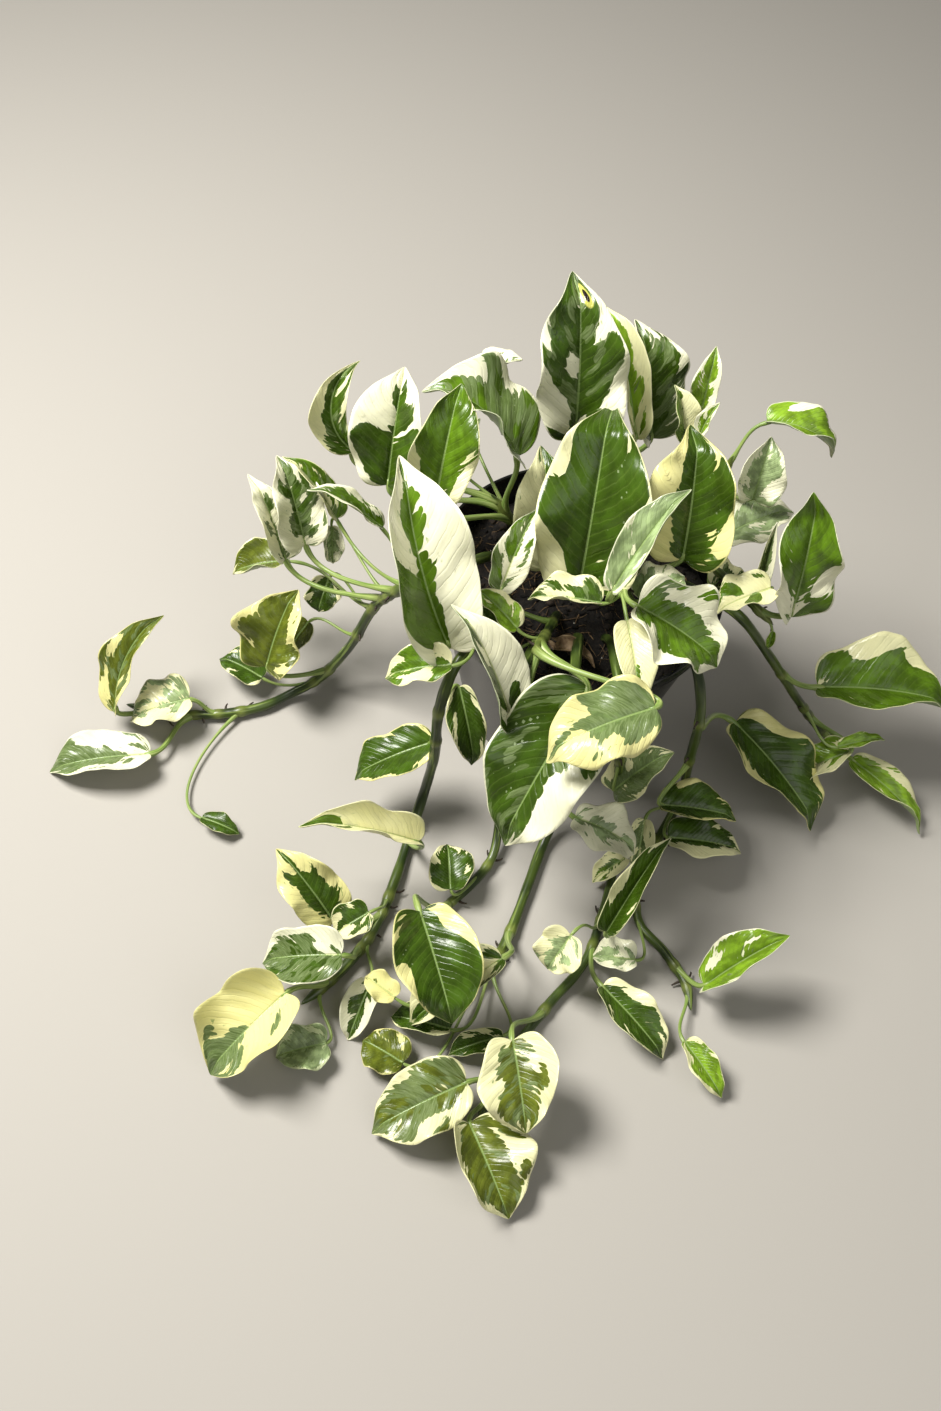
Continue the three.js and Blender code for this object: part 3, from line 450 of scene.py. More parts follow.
def blade_points(leaf, u, v, offset):
    """Points of a blade in mm: u from base to tip, v from -1 to 1 across, offset above the middle surface."""
    forward0, side0, normal0 = blade_frame(leaf)
    length = leaf["length"]
    lift_along, lift_above = arc(leaf["bend"], u)
    bow_along, bow_above = arc(leaf["sway"], u)
    point = np.array(leaf["base"], float)
    point = point + forward0 * (length * (lift_along + bow_along - u))[:, None]
    point = point + normal0 * (length * lift_above)[:, None] - side0 * (length * bow_above)[:, None]
    forward = turned(forward0, side0, radians(leaf["bend"]) * (0.5 - u))
    side = turned(side0, forward, -radians(leaf["twist"]) * (u - 0.5))
    normal = np.cross(side, forward)
    hook = smooth(0.8, 1.0, u) * math.radians(leaf["hook"]) * 0.1 * length
    point = point - normal * hook[:, None]

    s = np.abs(v)
    hand = np.where(v < 0, -1.0, 1.0)
    fold = math.radians(leaf["fold"])
    turn = np.where(v < 0, math.radians(leaf["curl"][0]), math.radians(leaf["curl"][1]))
    turn = np.where(np.abs(turn) < 1e-6, 1e-6, turn)
    angle = fold + turn * s
    seed = leaf["seed"]
    uneven = 1 + (0.08 * np.sin(5.1 * u + seed) + 0.03 * np.sin(13 * u + 2 * seed)) * hand
    half = np.maximum(BLADE_MIN_HALF_WIDTH, leaf["width"] / 2 * outline(u) * uneven)
    out = half * (np.sin(angle) - math.sin(fold)) / turn
    up = half * (math.cos(fold) - np.cos(angle)) / turn
    wave = leaf["ripple"] * s * s * np.sin(2 * np.pi * (leaf["waves"] * u + np.where(v < 0, 0.3, 0.0)))
    crimps = leaf["waves"] * 1.45 * u + 0.37 * seed + 0.4 * hand
    crimped = np.sin(2 * np.pi * crimps) + 0.25 * np.sin(4.6 * np.pi * crimps + seed)
    frill = leaf["ruffle"] * s ** 3 * crimped
    up = up + half * (wave + frill) * smooth(0, 0.15, u)
    between = np.abs(np.sin(np.pi * (vein_place(u, s) * BROAD_VEINS + np.where(v < 0, 0.5, 0.0))))
    puff = leaf["quilt"] * (np.sqrt(between) - 0.6) * smooth(0.04, 0.3, s) * (1 - smooth(0.75, 1, s))
    groove = -0.5 * leaf["quilt"] * np.exp(-((half * s / 1.6) ** 2))
    up = up + (0.019 * leaf["width"] * puff + groove) * smooth(0, 0.1, u) * (1 - smooth(0.85, 1, u))
    back = leaf["lobe"] * s * s * np.exp(-((u / 0.16) ** 2)) * half
    point = point - forward * back[:, None]
    return (
        point
        + side * (hand * (out - offset * np.sin(angle)))[:, None]
        + normal * (up + offset * np.cos(angle))[:, None]
    )


def blade_part(leaf):
    """A closed blade: its upper and lower skins and its margin. Its place is across, along and skin."""
    rows = ROWS_ALONG[leaf["joined"]]
    each = COLUMNS_EACH_SIDE[leaf["joined"]]
    t = np.linspace(0, 1, rows)
    u_line = 0.35 * t + 0.65 * (0.5 - 0.5 * np.cos(np.pi * t))
    half_line = np.linspace(0, 1, each + 1) ** 1.2
    v_line = np.concatenate([-half_line[:0:-1], half_line])
    columns = len(v_line)
    u, v = (a.ravel() for a in np.meshgrid(u_line, v_line, indexing="ij"))
    s = np.abs(v)
    thick = BLADE_THICKNESS / 2 * (1 - 0.55 * s ** 3)
    reach = s * leaf["width"] / 2 * outline(u)
    rib = MIDRIB_DEPTH * (1 - 0.8 * u) * np.exp(-((reach / 0.9) ** 2)) * smooth(0.0, 0.03, 1 - u)
    top = blade_points(leaf, u, v, thick)
    bottom = blade_points(leaf, u, v, -thick - rib)
    bottom[:, 2] = np.maximum(bottom[:, 2], LOWEST)
    top[:, 2] = np.maximum(top[:, 2], LOWEST + BLADE_THICKNESS)
    count = rows * columns
    index = np.arange(count).reshape(rows, columns)
    a, b, c, d = index[:-1, :-1], index[:-1, 1:], index[1:, 1:], index[1:, :-1]
    quads = np.stack([a, b, c, d], -1).reshape(-1, 4)
    rim = np.concatenate([index[0, :], index[1:, -1], index[-1, -2::-1], index[-2:0:-1, 0]])
    after = np.roll(rim, -1)
    sides = np.stack([rim, rim + count, after + count, after], -1)
    faces = np.concatenate([quads, quads[:, ::-1] + count, sides])
    place = np.stack([np.tile(v, 2), np.tile(u, 2), np.repeat([0.0, 1.0], count)], -1)
    return np.concatenate([top, bottom]), faces.tolist(), 0, place, np.tile(reach, 2)


# ---------------------------------------------------------------- tubes
def swept(centres, radii, sides, groove=None):
    """A closed tube along centres. radii has one row per centre; groove narrows it on one side."""
    tangents = unit(np.gradient(centres, axis=0))
    start = np.cross(tangents[0], [0.0, 0.0, 1.0])
    if np.linalg.norm(start) < 0.1:
        start = np.cross(tangents[0], [0.0, 1.0, 0.0])
    across = [unit(start)]
    for tangent in tangents[1:]:
        last = across[-1]
        across.append(unit(last - tangent * np.dot(last, tangent)))
    across = np.array(across)
    above = np.cross(tangents, across)
    angle = np.linspace(0, 2 * np.pi, sides, endpoint=False)
    shape = np.ones(sides) if groove is None else 1 - groove * np.exp(-(((angle - np.pi / 2) / 0.45) ** 2))
    ring = (across[:, None] * np.cos(angle)[None, :, None] + above[:, None] * np.sin(angle)[None, :, None])
    points = centres[:, None] + ring * (np.asarray(radii)[:, None] * shape[None, :])[:, :, None]
    count = len(centres)
    index = np.arange(count * sides).reshape(count, sides)
    nxt = np.roll(index, -1, axis=1)
    quads = np.stack([index[:-1], nxt[:-1], nxt[1:], index[1:]], -1).reshape(-1, 4)
    faces = quads.tolist() + [index[0, ::-1].tolist(), index[-1].tolist()]
    return points.reshape(-1, 3), faces


def stem_curve(route):
    """The route as one smooth centripetal Catmull-Rom curve: closely spaced points with their lengths."""
    knots = np.array(route, float)
    knots = np.vstack([2 * knots[0] - knots[1], knots, 2 * knots[-1] - knots[-2]])
    points = []
    for i in range(1, len(knots) - 2):
        p0, p1, p2, p3 = knots[i - 1:i + 3]
        d0, d1, d2 = (np.linalg.norm(b - a) ** 0.5 for a, b in ((p0, p1), (p1, p2), (p2, p3)))
        t1 = ((p1 - p0) / d0 - (p2 - p0) / (d0 + d1) + (p2 - p1) / d1) * d1
        t2 = ((p2 - p1) / d1 - (p3 - p1) / (d1 + d2) + (p3 - p2) / d2) * d1
        t = np.linspace(0, 1, 40, endpoint=i == len(knots) - 3)[:, None]
        points.append(
            p1 + t1 * t + (3 * (p2 - p1) - 2 * t1 - t2) * t ** 2 + (2 * (p1 - p2) + t1 + t2) * t ** 3)
    points = np.vstack(points)
    steps = np.linalg.norm(np.diff(points, axis=0), axis=1)
    return points, np.concatenate([[0], np.cumsum(steps)])


def at_length(curve, where):
    points, lengths = curve
    return np.stack([np.interp(where, lengths, points[:, k]) for k in range(3)], -1)


def bezier(p0, p1, p2, p3, count):
    t = np.linspace(0, 1, count)[:, None]
    return (1 - t) ** 3 * p0 + 3 * (1 - t) ** 2 * t * p1 + 3 * (1 - t) * t * t * p2 + t ** 3 * p3


def petiole_part(leaf, curve):
    """The leaf stalk: sheathed where it leaves the stem, grooved above, thickened just under the blade."""
    total = curve[1][-1]
    where = leaf["place"] * total
    start = at_length(curve, where)
    tangent = unit(at_length(curve, min(where + 1, total)) - at_length(curve, where - 1))
    end = blade_points(leaf, np.array([PETIOLE_INTO_BLADE]), np.array([0.0]), np.array([-0.5]))[0]
    span = np.linalg.norm(end - start)
    reach = min(0.4 * span, PETIOLE_LONGEST_REACH)
    leaving = unit(unit(end - start) + tangent)
    forward, side, _ = blade_frame(leaf)
    entering = turned(forward, side, radians(leaf["bend"]) / 2)
    count = max(10, int(span / 2.5))
    centres = bezier(start, start + leaving * reach, end - entering * reach, end, count)
    t = np.linspace(0, 1, count)
    radius = PETIOLE_RADIUS[leaf["joined"]] * (0.62 + 0.006 * leaf["length"])
    sheath = 0.75 * (1 - smooth(0.0, 0.3, t))
    knee = 0.28 * np.exp(-(((t - 0.9) / 0.06) ** 2))
    radii = radius * (1 + sheath + knee - 0.25 * smooth(0.93, 1, t))
    points, faces = swept(centres, radii, PETIOLE_SIDES, groove=0.3)
    along = np.repeat(t, PETIOLE_SIDES)
    turn = np.tile(np.arange(PETIOLE_SIDES) / PETIOLE_SIDES, count)
    place = np.stack([along * span, turn, along], -1)
    return points, faces, 1, place, np.full(len(points), leaf["seed"])


# ---------------------------------------------------------------- objects
def make_object(name, parts, materials):
    """One object of several closed shells. A part: points (mm), faces, material index, place, reach."""
    verts = []
    faces = []
    slots = []
    places = []
    reaches = []
    start = 0
    for points, part_faces, slot, place, reach in parts:
        verts.append(np.asarray(points) * MM)
        faces += [[i + start for i in face] for face in part_faces]
        slots += [slot] * len(part_faces)
        places.append(place)
        reaches.append(reach)
        start += len(points)
    mesh = bpy.data.meshes.new(name)
    mesh.from_pydata(np.vstack(verts).tolist(), [], faces)
    mesh.attributes.new("place", "FLOAT_VECTOR", "POINT").data.foreach_set(
        "vector", np.vstack(places).astype(np.float32).ravel())
    mesh.attributes.new("reach", "FLOAT", "POINT").data.foreach_set(
        "value", np.concatenate(reaches).astype(np.float32))
    mesh.polygons.foreach_set("material_index", slots)
    mesh.polygons.foreach_set("use_smooth", [True] * len(faces))
    for material in materials:
        mesh.materials.append(material)
    tidy = bmesh.new()
    tidy.from_mesh(mesh)
    bmesh.ops.recalc_face_normals(tidy, faces=tidy.faces)
    tidy.to_mesh(mesh)
    tidy.free()
    made = bpy.data.objects.new(name, mesh)
    bpy.context.scene.collection.objects.link(made)
    return made


def plain_part(points, faces, slot=0, mark=0.0):
    """A part whose look doesn't follow its place; its mark may set it apart from others."""
    return points, faces, slot, np.zeros((len(points), 3)), np.full(len(points), mark)


# ---------------------------------------------------------------- node materials
class Value:
    """A node's output, which adds, subtracts, multiplies and divides as a number does."""

    def __init__(self, tree, output):
        self.tree = tree
        self.output = output

    def __add__(self, other):
        return self.tree.math("ADD", self, other)

    def __radd__(self, other):
        return self.tree.math("ADD", other, self)

    def __sub__(self, other):
        return self.tree.math("SUBTRACT", self, other)

    def __rsub__(self, other):
        return self.tree.math("SUBTRACT", other, self)

    def __mul__(self, other):
        return self.tree.math("MULTIPLY", self, other)

    def __truediv__(self, other):
        return self.tree.math("DIVIDE", self, other)

    def __pow__(self, other):
        return self.tree.math("POWER", self, other)

    def __abs__(self):
        return self.tree.math("ABSOLUTE", self)


class Tree:
    """A short way to write node trees: an input takes a number, a colour or another node's output."""

    def __init__(self, tree):
        self.tree = tree

    def give(self, socket, value):
        if isinstance(value, Value):
            value = value.output
        if isinstance(value, bpy.types.NodeSocket):
            self.tree.links.new(value, socket)
        elif socket.type == "RGBA":
            socket.default_value = (*value, 1)
        else:
            socket.default_value = value

    def add(self, kind, output, settings=(), **inputs):
        """The named output of a new node."""
        node = self.tree.nodes.new(kind)
        for key, value in dict(settings).items():
            setattr(node, key, value)
        for key, value in inputs.items():
            self.give(node.inputs[key.replace("_", " ")], value)
        return Value(self, node.outputs[output])

    def math(self, operation, *values):
        node = self.tree.nodes.new("ShaderNodeMath")
        node.operation = operation
        for socket, value in zip(node.inputs, values):
            self.give(socket, value)
        return Value(self, node.outputs[0])

    def step(self, value, low, high):
        """0 before low, 1 beyond high, smooth between; high may be the smaller."""
        rising = float(low < high)
        return self.add(
            "ShaderNodeMapRange", "Result", {"interpolation_type": "SMOOTHSTEP"}, Value=value,
            From_Min=min(low, high), From_Max=max(low, high), To_Min=1 - rising, To_Max=rising)

    def mix(self, factor, a, b, blend="MIX"):
        """Colour a turned to colour b by that factor. The node's colour sockets are its inputs 6 and 7."""
        node = self.tree.nodes.new("ShaderNodeMix")
        node.data_type = "RGBA"
        node.blend_type = blend
        for index, value in ((0, factor), (6, a), (7, b)):
            self.give(node.inputs[index], value)
        return Value(self, node.outputs[2])

    def vector(self, x, y, z):
        return self.add("ShaderNodeCombineXYZ", "Vector", X=x, Y=y, Z=z)

    def split(self, vector):
        node = self.tree.nodes.new("ShaderNodeSeparateXYZ")
        self.give(node.inputs["Vector"], vector)
        return [Value(self, output) for output in node.outputs]

    def noise(self, vector, scale, detail=2.0, roughness=0.5):
        return self.add(
            "ShaderNodeTexNoise", "Fac", Vector=vector, Scale=scale, Detail=detail, Roughness=roughness)

    def white(self, vector):
        return self.add("ShaderNodeTexWhiteNoise", "Value", {"noise_dimensions": "3D"}, Vector=vector)

    def attribute(self, name, output):
        return self.add("ShaderNodeAttribute", output, {"attribute_name": name})

    def distance(self, across, along):
        return self.math("SQRT", across * across + along * along)

    def bump(self, height, strength, distance):
        return self.add("ShaderNodeBump", "Normal", Height=height, Strength=strength, Distance=distance)


def new_material(name, **settings):
    """A material with those shader settings: itself, its tree and its shader's inputs."""
    material = bpy.data.materials.new(name)
    material.use_nodes = True
    t = Tree(material.node_tree)
    look = material.node_tree.nodes["Principled BSDF"].inputs
    for key, value in settings.items():
        t.give(look[key.replace("_", " ")], value)
    return material, t, look


SHARES = ("Green", "Lean", "Tip", "Core", "Grey")
SPOT_SOCKETS = ("Spot u", "Spot v", "Spot size")
PATCH_SOCKETS = [f"Patch {which} {what}" for which in "ab" for what in ("u", "v", "size", "force")]
NOT_ZERO = 1e-4

# Lesser colours of the blades
LIGHT_STRAND = (0.12, 0.2, 0.02)
LIGHT_VEIN = (0.22, 0.32, 0.06)
GREY_GREENS = ((0.09, 0.135, 0.035), (0.2, 0.26, 0.11))
STREAK_ON_PALE = (0.42, 0.48, 0.2)
CLOUD_ON_PALE = (0.75, 0.68, 0.3)
FLECK = (0.16, 0.25, 0.07)
MIDRIB_ON_PALE = (0.4, 0.46, 0.16)
MIDRIB_ON_GREEN = (0.24, 0.34, 0.11)
BRUISE = (0.2, 0.13, 0.03)
SPOT_RING = (0.5, 0.5, 0.1)
SPOT_CENTRE = (0.012, 0.007, 0.004)
UNDERSIDE = (0.34, 0.42, 0.22)


def variegation_group():
    """Colour, roughness and height of a blade from its place, shared by every leaf's material."""
    tree = bpy.data.node_groups.new("variegation", "ShaderNodeTree")
    sockets = [(name, "INPUT", "Float") for name in (*SHARES, "Seed", *SPOT_SOCKETS, *PATCH_SOCKETS)]
    sockets += [(name, "INPUT", "Color") for name in ("Dark", "Pale")]
    sockets += [("Colour", "OUTPUT", "Color")]
    sockets += [(name, "OUTPUT", "Float") for name in ("Roughness", "Height")]
    for name, way, kind in sockets:
        tree.interface.new_socket(name, in_out=way, socket_type="NodeSocket" + kind)
    t = Tree(tree)
    given = {socket.name: Value(t, socket) for socket in tree.nodes.new("NodeGroupInput").outputs}
    seed = given["Seed"]

    # Where it is: v across from -1 to 1, u along from 0 to 1, s outwards, reach in mm from the midrib,
    # and flow along the lateral veins, which number the blade's fine and broad strips.
    v, u, under = t.split(t.attribute("place", "Vector"))
    reach = t.attribute("reach", "Fac")
    s = abs(v)
    right = t.math("GREATER_THAN", v, 0.0)
    wobble = (t.noise(t.vector(v, u, seed), 5.0) - 0.5) * 0.035
    flow = u - s ** VEIN_CURVE * VEIN_LEAN + wobble
    half_step = (1.0 - right) * 0.5
    fine = flow * FINE_VEINS + half_step
    broad = flow * BROAD_VEINS + half_step
    fine_number = t.math("FLOOR", fine)
    fine_random = t.white(t.vector(fine_number, right, seed))
    other_random = t.white(t.vector(fine_number, right + 7.0, seed))
    broad_random = t.white(t.vector(t.math("FLOOR", broad), right + 3.0, seed))
    fine_place = t.math("FRACT", fine) * 2.0 - 1.0
    scallop = 0.5 - fine_place * fine_place
    along = u * 2.0 - 1.0
    inwards = 1.0 - s * 2.0

    def patch_share(which):
        """Its force inside one of the leaf's set patches, 0 well outside it."""
        across = (v - given[f"Patch {which} v"]) * 0.36
        away = t.distance(flow - (given[f"Patch {which} u"] - 0.12), across)
        share = away / (given[f"Patch {which} size"] + NOT_ZERO)
        return t.step(share, 1.35, 0.55) * given[f"Patch {which} force"]

    # Green where the field is above 0. Of the green, grey-green where the other field is.
    large = t.noise(t.vector(flow * 3.2, s * 1.7 + right * 9.0, seed), 1.35, 0.6)
    field = (
        patch_share("a") + patch_share("b") + given["Green"]
        + given["Lean"] * v + given["Tip"] * along + given["Core"] * inwards
        + (broad_random - 0.5) * 0.42 + (large - 0.5) * 1.9 + (fine_random - 0.5) * 0.14 + scallop * 0.13
    )
    green = t.step(field, -0.012, 0.012)
    other = t.noise(t.vector(flow * 6.0, s * 1.3 + right * 5.0, seed + 31.0), 1.5, 1.5)
    near_edge = t.step(field, 0.2, 0.0)
    grey_field = (
        given["Grey"] + (other - 0.5) * 2.4 + (other_random - 0.5) * 0.35 + scallop * 0.12
        + near_edge * 0.3 - 0.3
    )
    grey = t.step(grey_field, -0.02, 0.02)
    fleck_noise = t.noise(t.vector(fine * 0.5, s * 5.0, seed), 2.0, 1.0)
    fleck = t.step(fleck_noise, 0.69, 0.705) * t.step(field, -0.45, -0.1)

    vein = abs(fine_place) ** 6.0
    strand = t.noise(t.vector(fine * 1.3, s * 1.2, seed), 3.0, 2.0, 0.6)
    cloud = t.noise(t.vector(v, u * 2.0, seed), 3.0, 3.0)

    lighter = 0.75 + t.step(cloud, 0.35, 0.7) * 0.9
    dark = t.mix(1.0, given["Dark"], t.vector(lighter, lighter, lighter), "MULTIPLY")
    dark = t.mix(strand * 0.22, dark, LIGHT_STRAND)
    dark = t.mix(vein * 0.12, dark, LIGHT_VEIN)
    greens = t.mix(grey * 0.8, dark, t.mix(t.step(strand, 0.3, 0.75), *GREY_GREENS))
    pale = t.mix(t.step(strand, 0.52, 0.8) * 0.3, given["Pale"], STREAK_ON_PALE)
    pale = t.mix(cloud * 0.1, pale, CLOUD_ON_PALE)
    pale = t.mix(fleck * 0.8, pale, FLECK)
    colour = t.mix(green, pale, greens)

    margin = t.step(s, 0.955, 0.975)
    colour = t.mix(margin * 0.85, colour, given["Pale"])
    rib_width = 0.75 - u * 0.4
    rib = t.step(reach - rib_width, 0.25, -0.25) * t.step(u, 1.0, 0.9)
    colour = t.mix(rib * 0.75, colour, t.mix(green, MIDRIB_ON_PALE, MIDRIB_ON_GREEN))
    bruise = t.step(t.noise(t.vector(v, u, seed + 5.0), 9.0, 3.0), 0.76, 0.8)
    colour = t.mix(bruise * 0.35, colour, BRUISE)

    from_spot = t.distance((u - given["Spot u"]) * 1.7, (v - given["Spot v"]) * 0.5)
    spot_share = from_spot / (given["Spot size"] + NOT_ZERO)
    colour = t.mix(t.step(spot_share, 2.1, 1.7), colour, SPOT_RING)
    colour = t.mix(t.step(spot_share, 1.1, 0.9), colour, SPOT_CENTRE)

    below = t.mix(0.1 + green * 0.5, colour, UNDERSIDE)
    out = tree.nodes.new("NodeGroupOutput").inputs
    t.give(out["Colour"], t.mix(t.step(under, 0.45, 0.55), colour, below))
    t.give(out["Roughness"], 0.22 + cloud * 0.16 - green * 0.03 + under * 0.16)
    t.give(out["Height"], strand * 0.25 + green * 0.25 - vein * 0.5 - rib * 0.6)
    return tree


def leaf_material(name, group, seed):
    green, pale, *shares = LOOKS[name]
    material, t, look = new_material(
        name + "_blade", Specular_IOR_Level=0.32, Coat_Weight=0.12, Coat_Roughness=0.14)
    pattern = t.tree.nodes.new("ShaderNodeGroup")
    pattern.node_tree = group
    given = dict(zip(SHARES, shares))
    given.update(zip(SPOT_SOCKETS, SPOTS.get(name, (0, 0, 0))))
    given.update(zip(PATCH_SOCKETS, sum(PATCHES.get(name, ()), ())))
    given.update(Seed=seed, Dark=GREENS[green], Pale=PALES[pale])
    for key, value in given.items():
        t.give(pattern.inputs[key], value)
    t.give(look["Base Color"], pattern.outputs["Colour"])
    t.give(look["Roughness"], pattern.outputs["Roughness"])
    t.give(look["Normal"], t.bump(pattern.outputs["Height"], 0.6, 0.0005))
    return material


def stalk_material():
    """Leaf stalks: light green with paler streaks, browner at the sheath."""
    material, t, look = new_material("stalks", Roughness=0.38)
    length, turn, along = t.split(t.attribute("place", "Vector"))
    seed = t.attribute("reach", "Fac")
    streak = t.noise(t.vector(turn * 7.0, length * 0.03, seed), 2.0)
    colour = t.mix(t.step(streak, 0.35, 0.7), (0.15, 0.24, 0.045), (0.34, 0.42, 0.13))
    colour = t.mix(t.step(along, 0.12, 0.0) * 0.5, colour, (0.12, 0.12, 0.03))
    t.give(look["Base Color"], colour)
    t.give(look["Normal"], t.bump(streak, 0.3, 0.0004))
    return material


def stem_material():
    """Stems: dark glossy green with pale streaks, and lighter at the joints that the leaves grow from."""
    material, t, look = new_material("stems", Roughness=0.33)
    length, turn, knot = t.split(t.attribute("place", "Vector"))
    seed = t.attribute("reach", "Fac")
    streak = t.noise(t.vector(turn * 6.0, length * 0.02, seed), 1.6, 3.0)
    patch = t.noise(t.vector(length * 0.03, seed, turn), 1.3, 1.0)
    colour = t.mix(t.step(patch, 0.35, 0.6), (0.016, 0.03, 0.005), (0.05, 0.08, 0.011))
    colour = t.mix(t.step(streak, 0.56, 0.66) * 0.7, colour, (0.2, 0.27, 0.06))
    colour = t.mix(knot * 0.6, colour, (0.2, 0.24, 0.05))
    t.give(look["Base Color"], colour)
    t.give(look["Normal"], t.bump(streak, 0.3, 0.0005))
    return material


def plain_material(name, dark, light, scale, roughness, bump, depth):
    """A material that varies between two colours with a grain of that scale, per metre of the object."""
    material, t, look = new_material(name, Roughness=roughness)
    grain = t.noise(t.add("ShaderNodeTexCoord", "Object"), scale, 5.0, 0.65)
    t.give(look["Base Color"], t.mix(t.step(grain, 0.35, 0.68), dark, light))
    t.give(look["Normal"], t.bump(grain, bump, depth))
    return material


# ---------------------------------------------------------------- stems and roots
STEM_SIDES = 18
STEM_RING_SPACING = 1.6
BUD_LENGTH = 11
ROOT_SIDES = 7
ROOT_RADII = np.linspace(1.1, 0.45, 9)
ROOT_LOWEST = 1.2


def stem_part(stem, curve, seed):
    """A stem swollen at the joints that its leaves grow from, with a rounded tip."""
    total = curve[1][-1]
    count = int(total / STEM_RING_SPACING)
    where = np.linspace(0, total, count)
    knots = np.array(sorted(leaf["place"] * total for leaf in stem["leaves"]))
    nearest = np.min(np.abs(where[:, None] - knots[None, :]), axis=1)
    swell = np.exp(-((nearest / 3.2) ** 2))
    ring = np.exp(-(((nearest - 4.2) / 0.7) ** 2))
    uneven = 0.04 * np.sin(where / 9 + seed) + 0.025 * np.sin(where / 3.7 + 2 * seed)
    tip = np.clip((total - where) / BUD_LENGTH, 0.004, 1) ** 0.6
    radii = stem["radius"] * (0.93 + 0.15 * swell - 0.06 * ring + uneven) * tip
    points, faces = swept(at_length(curve, where), radii, STEM_SIDES)
    turn = np.tile(np.arange(STEM_SIDES) / STEM_SIDES, count)
    place = np.stack([np.repeat(where, STEM_SIDES), turn, np.repeat(swell, STEM_SIDES)], -1)
    return points, faces, 0, place, np.full(len(points), seed)


def root_parts(stem, curve, seed):
    """Short dark aerial roots below each joint, curling back towards the stem."""
    total = curve[1][-1]
    parts = []
    for leaf in stem["leaves"]:
        where = leaf["place"] * total
        start = at_length(curve, where - 5)
        if start[2] < SOIL_TOP and np.hypot(start[0], start[1]) < POT_BASE_RADIUS:
            continue
        tangent = unit(at_length(curve, where) - start)
        across = unit(np.cross(tangent, [0.0, 0.0, 1.0]) + 1e-6)
        for hand in rng.sample((-1, 1), rng.choice((0, 1, 1, 2))):
            out = unit(hand * across * rng.uniform(0.6, 1) - np.array([0, 0, rng.uniform(0.0, 0.5)]))
            long = rng.uniform(2, 6)
            middle = start + out * (stem["radius"] + 0.5 * long) - tangent * rng.uniform(-1, 2)
            end = middle + out * 0.35 * long - tangent * rng.uniform(-3, 5)
            end[2] = max(end[2], ROOT_LOWEST)
            middle[2] = max(middle[2], ROOT_LOWEST)
            centres = bezier(start, (start + middle) / 2, middle, end, len(ROOT_RADII))
            parts.append(plain_part(*swept(centres, ROOT_RADII, ROOT_SIDES), slot=1, mark=seed))
    return parts


# ---------------------------------------------------------------- pot and peat
POT_HEIGHT = 130
POT_RIM_RADIUS = 85
POT_BASE_RADIUS = 60
POT_WALL = 1.2
RIM_BAND_HEIGHT = 9
RIM_BAND_OVERHANG = 2.4
LIP_RADIUS = 1.0
DRAIN_HOLES = 8
DRAIN_HOLE_RADIUS = 5
DRAIN_CIRCLE_RADIUS = 43
FOOT_HEIGHT = 2
POT_SEGMENTS = 128
SOIL_TOP = 113
SOIL_BOTTOM = 2.4
SOIL_MOUND = 3
SOIL_RINGS = 66
SOIL_SEGMENTS = 200


def lathe(profile, segments=POT_SEGMENTS):
    """A closed ring of revolution from a closed outline of (radius, height), in mm."""
    profile = np.array(profile, float)
    angle = np.linspace(0, 2 * np.pi, segments, endpoint=False)
    points = np.stack([
        profile[None, :, 0] * np.cos(angle)[:, None],
        profile[None, :, 0] * np.sin(angle)[:, None],
        np.broadcast_to(profile[None, :, 1], (segments, len(profile))),
    ], -1)
    index = np.arange(segments * len(profile)).reshape(segments, len(profile))
    turned_index = np.roll(index, -1, axis=0)
    up = np.roll(index, -1, axis=1)
    turned_up = np.roll(turned_index, -1, axis=1)
    faces = np.stack([index, turned_index, turned_up, up], -1).reshape(-1, 4)
    return points.reshape(-1, 3), faces.tolist()


def circle(radius, count):
    """Places spaced evenly about the pot's axis."""
    angles = [2 * math.pi * k / count for k in range(count)]
    return [(radius * math.cos(angle), radius * math.sin(angle)) for angle in angles]


def pot_wall_radius(z):
    return POT_BASE_RADIUS + (POT_RIM_RADIUS - POT_BASE_RADIUS) * z / POT_HEIGHT


SOIL_EDGE = pot_wall_radius(SOIL_TOP - 4) - POT_WALL


def pot_profiles():
    """Outlines of the pot's ring, outside to inside, and of the disc in the middle of its base."""
    band_low = POT_HEIGHT - RIM_BAND_HEIGHT
    band_out = POT_RIM_RADIUS + RIM_BAND_OVERHANG - 1.0
    middle = DRAIN_CIRCLE_RADIUS - 1.5 * DRAIN_HOLE_RADIUS
    foot = [(middle, 0.0), (POT_BASE_RADIUS - 1.2, 0.0), (POT_BASE_RADIUS - 0.3, 0.35)]
    wall = [(pot_wall_radius(z), z) for z in np.linspace(1.2, band_low - 1.4, 24)]
    band = [
        (pot_wall_radius(band_low) + 0.2, band_low - 1),
        (band_out - 0.4, band_low - 0.2),
        (band_out, band_low + 0.6),
    ]
    lip = [
        (band_out - LIP_RADIUS + LIP_RADIUS * math.cos(a), POT_HEIGHT - LIP_RADIUS + LIP_RADIUS * math.sin(a))
        for a in np.linspace(0, math.pi, 9)
    ]
    lip.append((band_out - 2 * LIP_RADIUS, POT_HEIGHT - 3))
    inner = [(pot_wall_radius(z) - POT_WALL, z) for z in np.linspace(band_low + 3, 2.6, 28)]
    base = [(POT_BASE_RADIUS - 4, FOOT_HEIGHT - 0.2), (middle, FOOT_HEIGHT - 0.2)]
    low, high, out = FOOT_HEIGHT - 1.8, FOOT_HEIGHT - 0.5, middle + 0.4
    disc = [(0.05, low), (out, low), (out, high), (0.05, high)]
    return foot + wall + band + lip + inner + base, disc


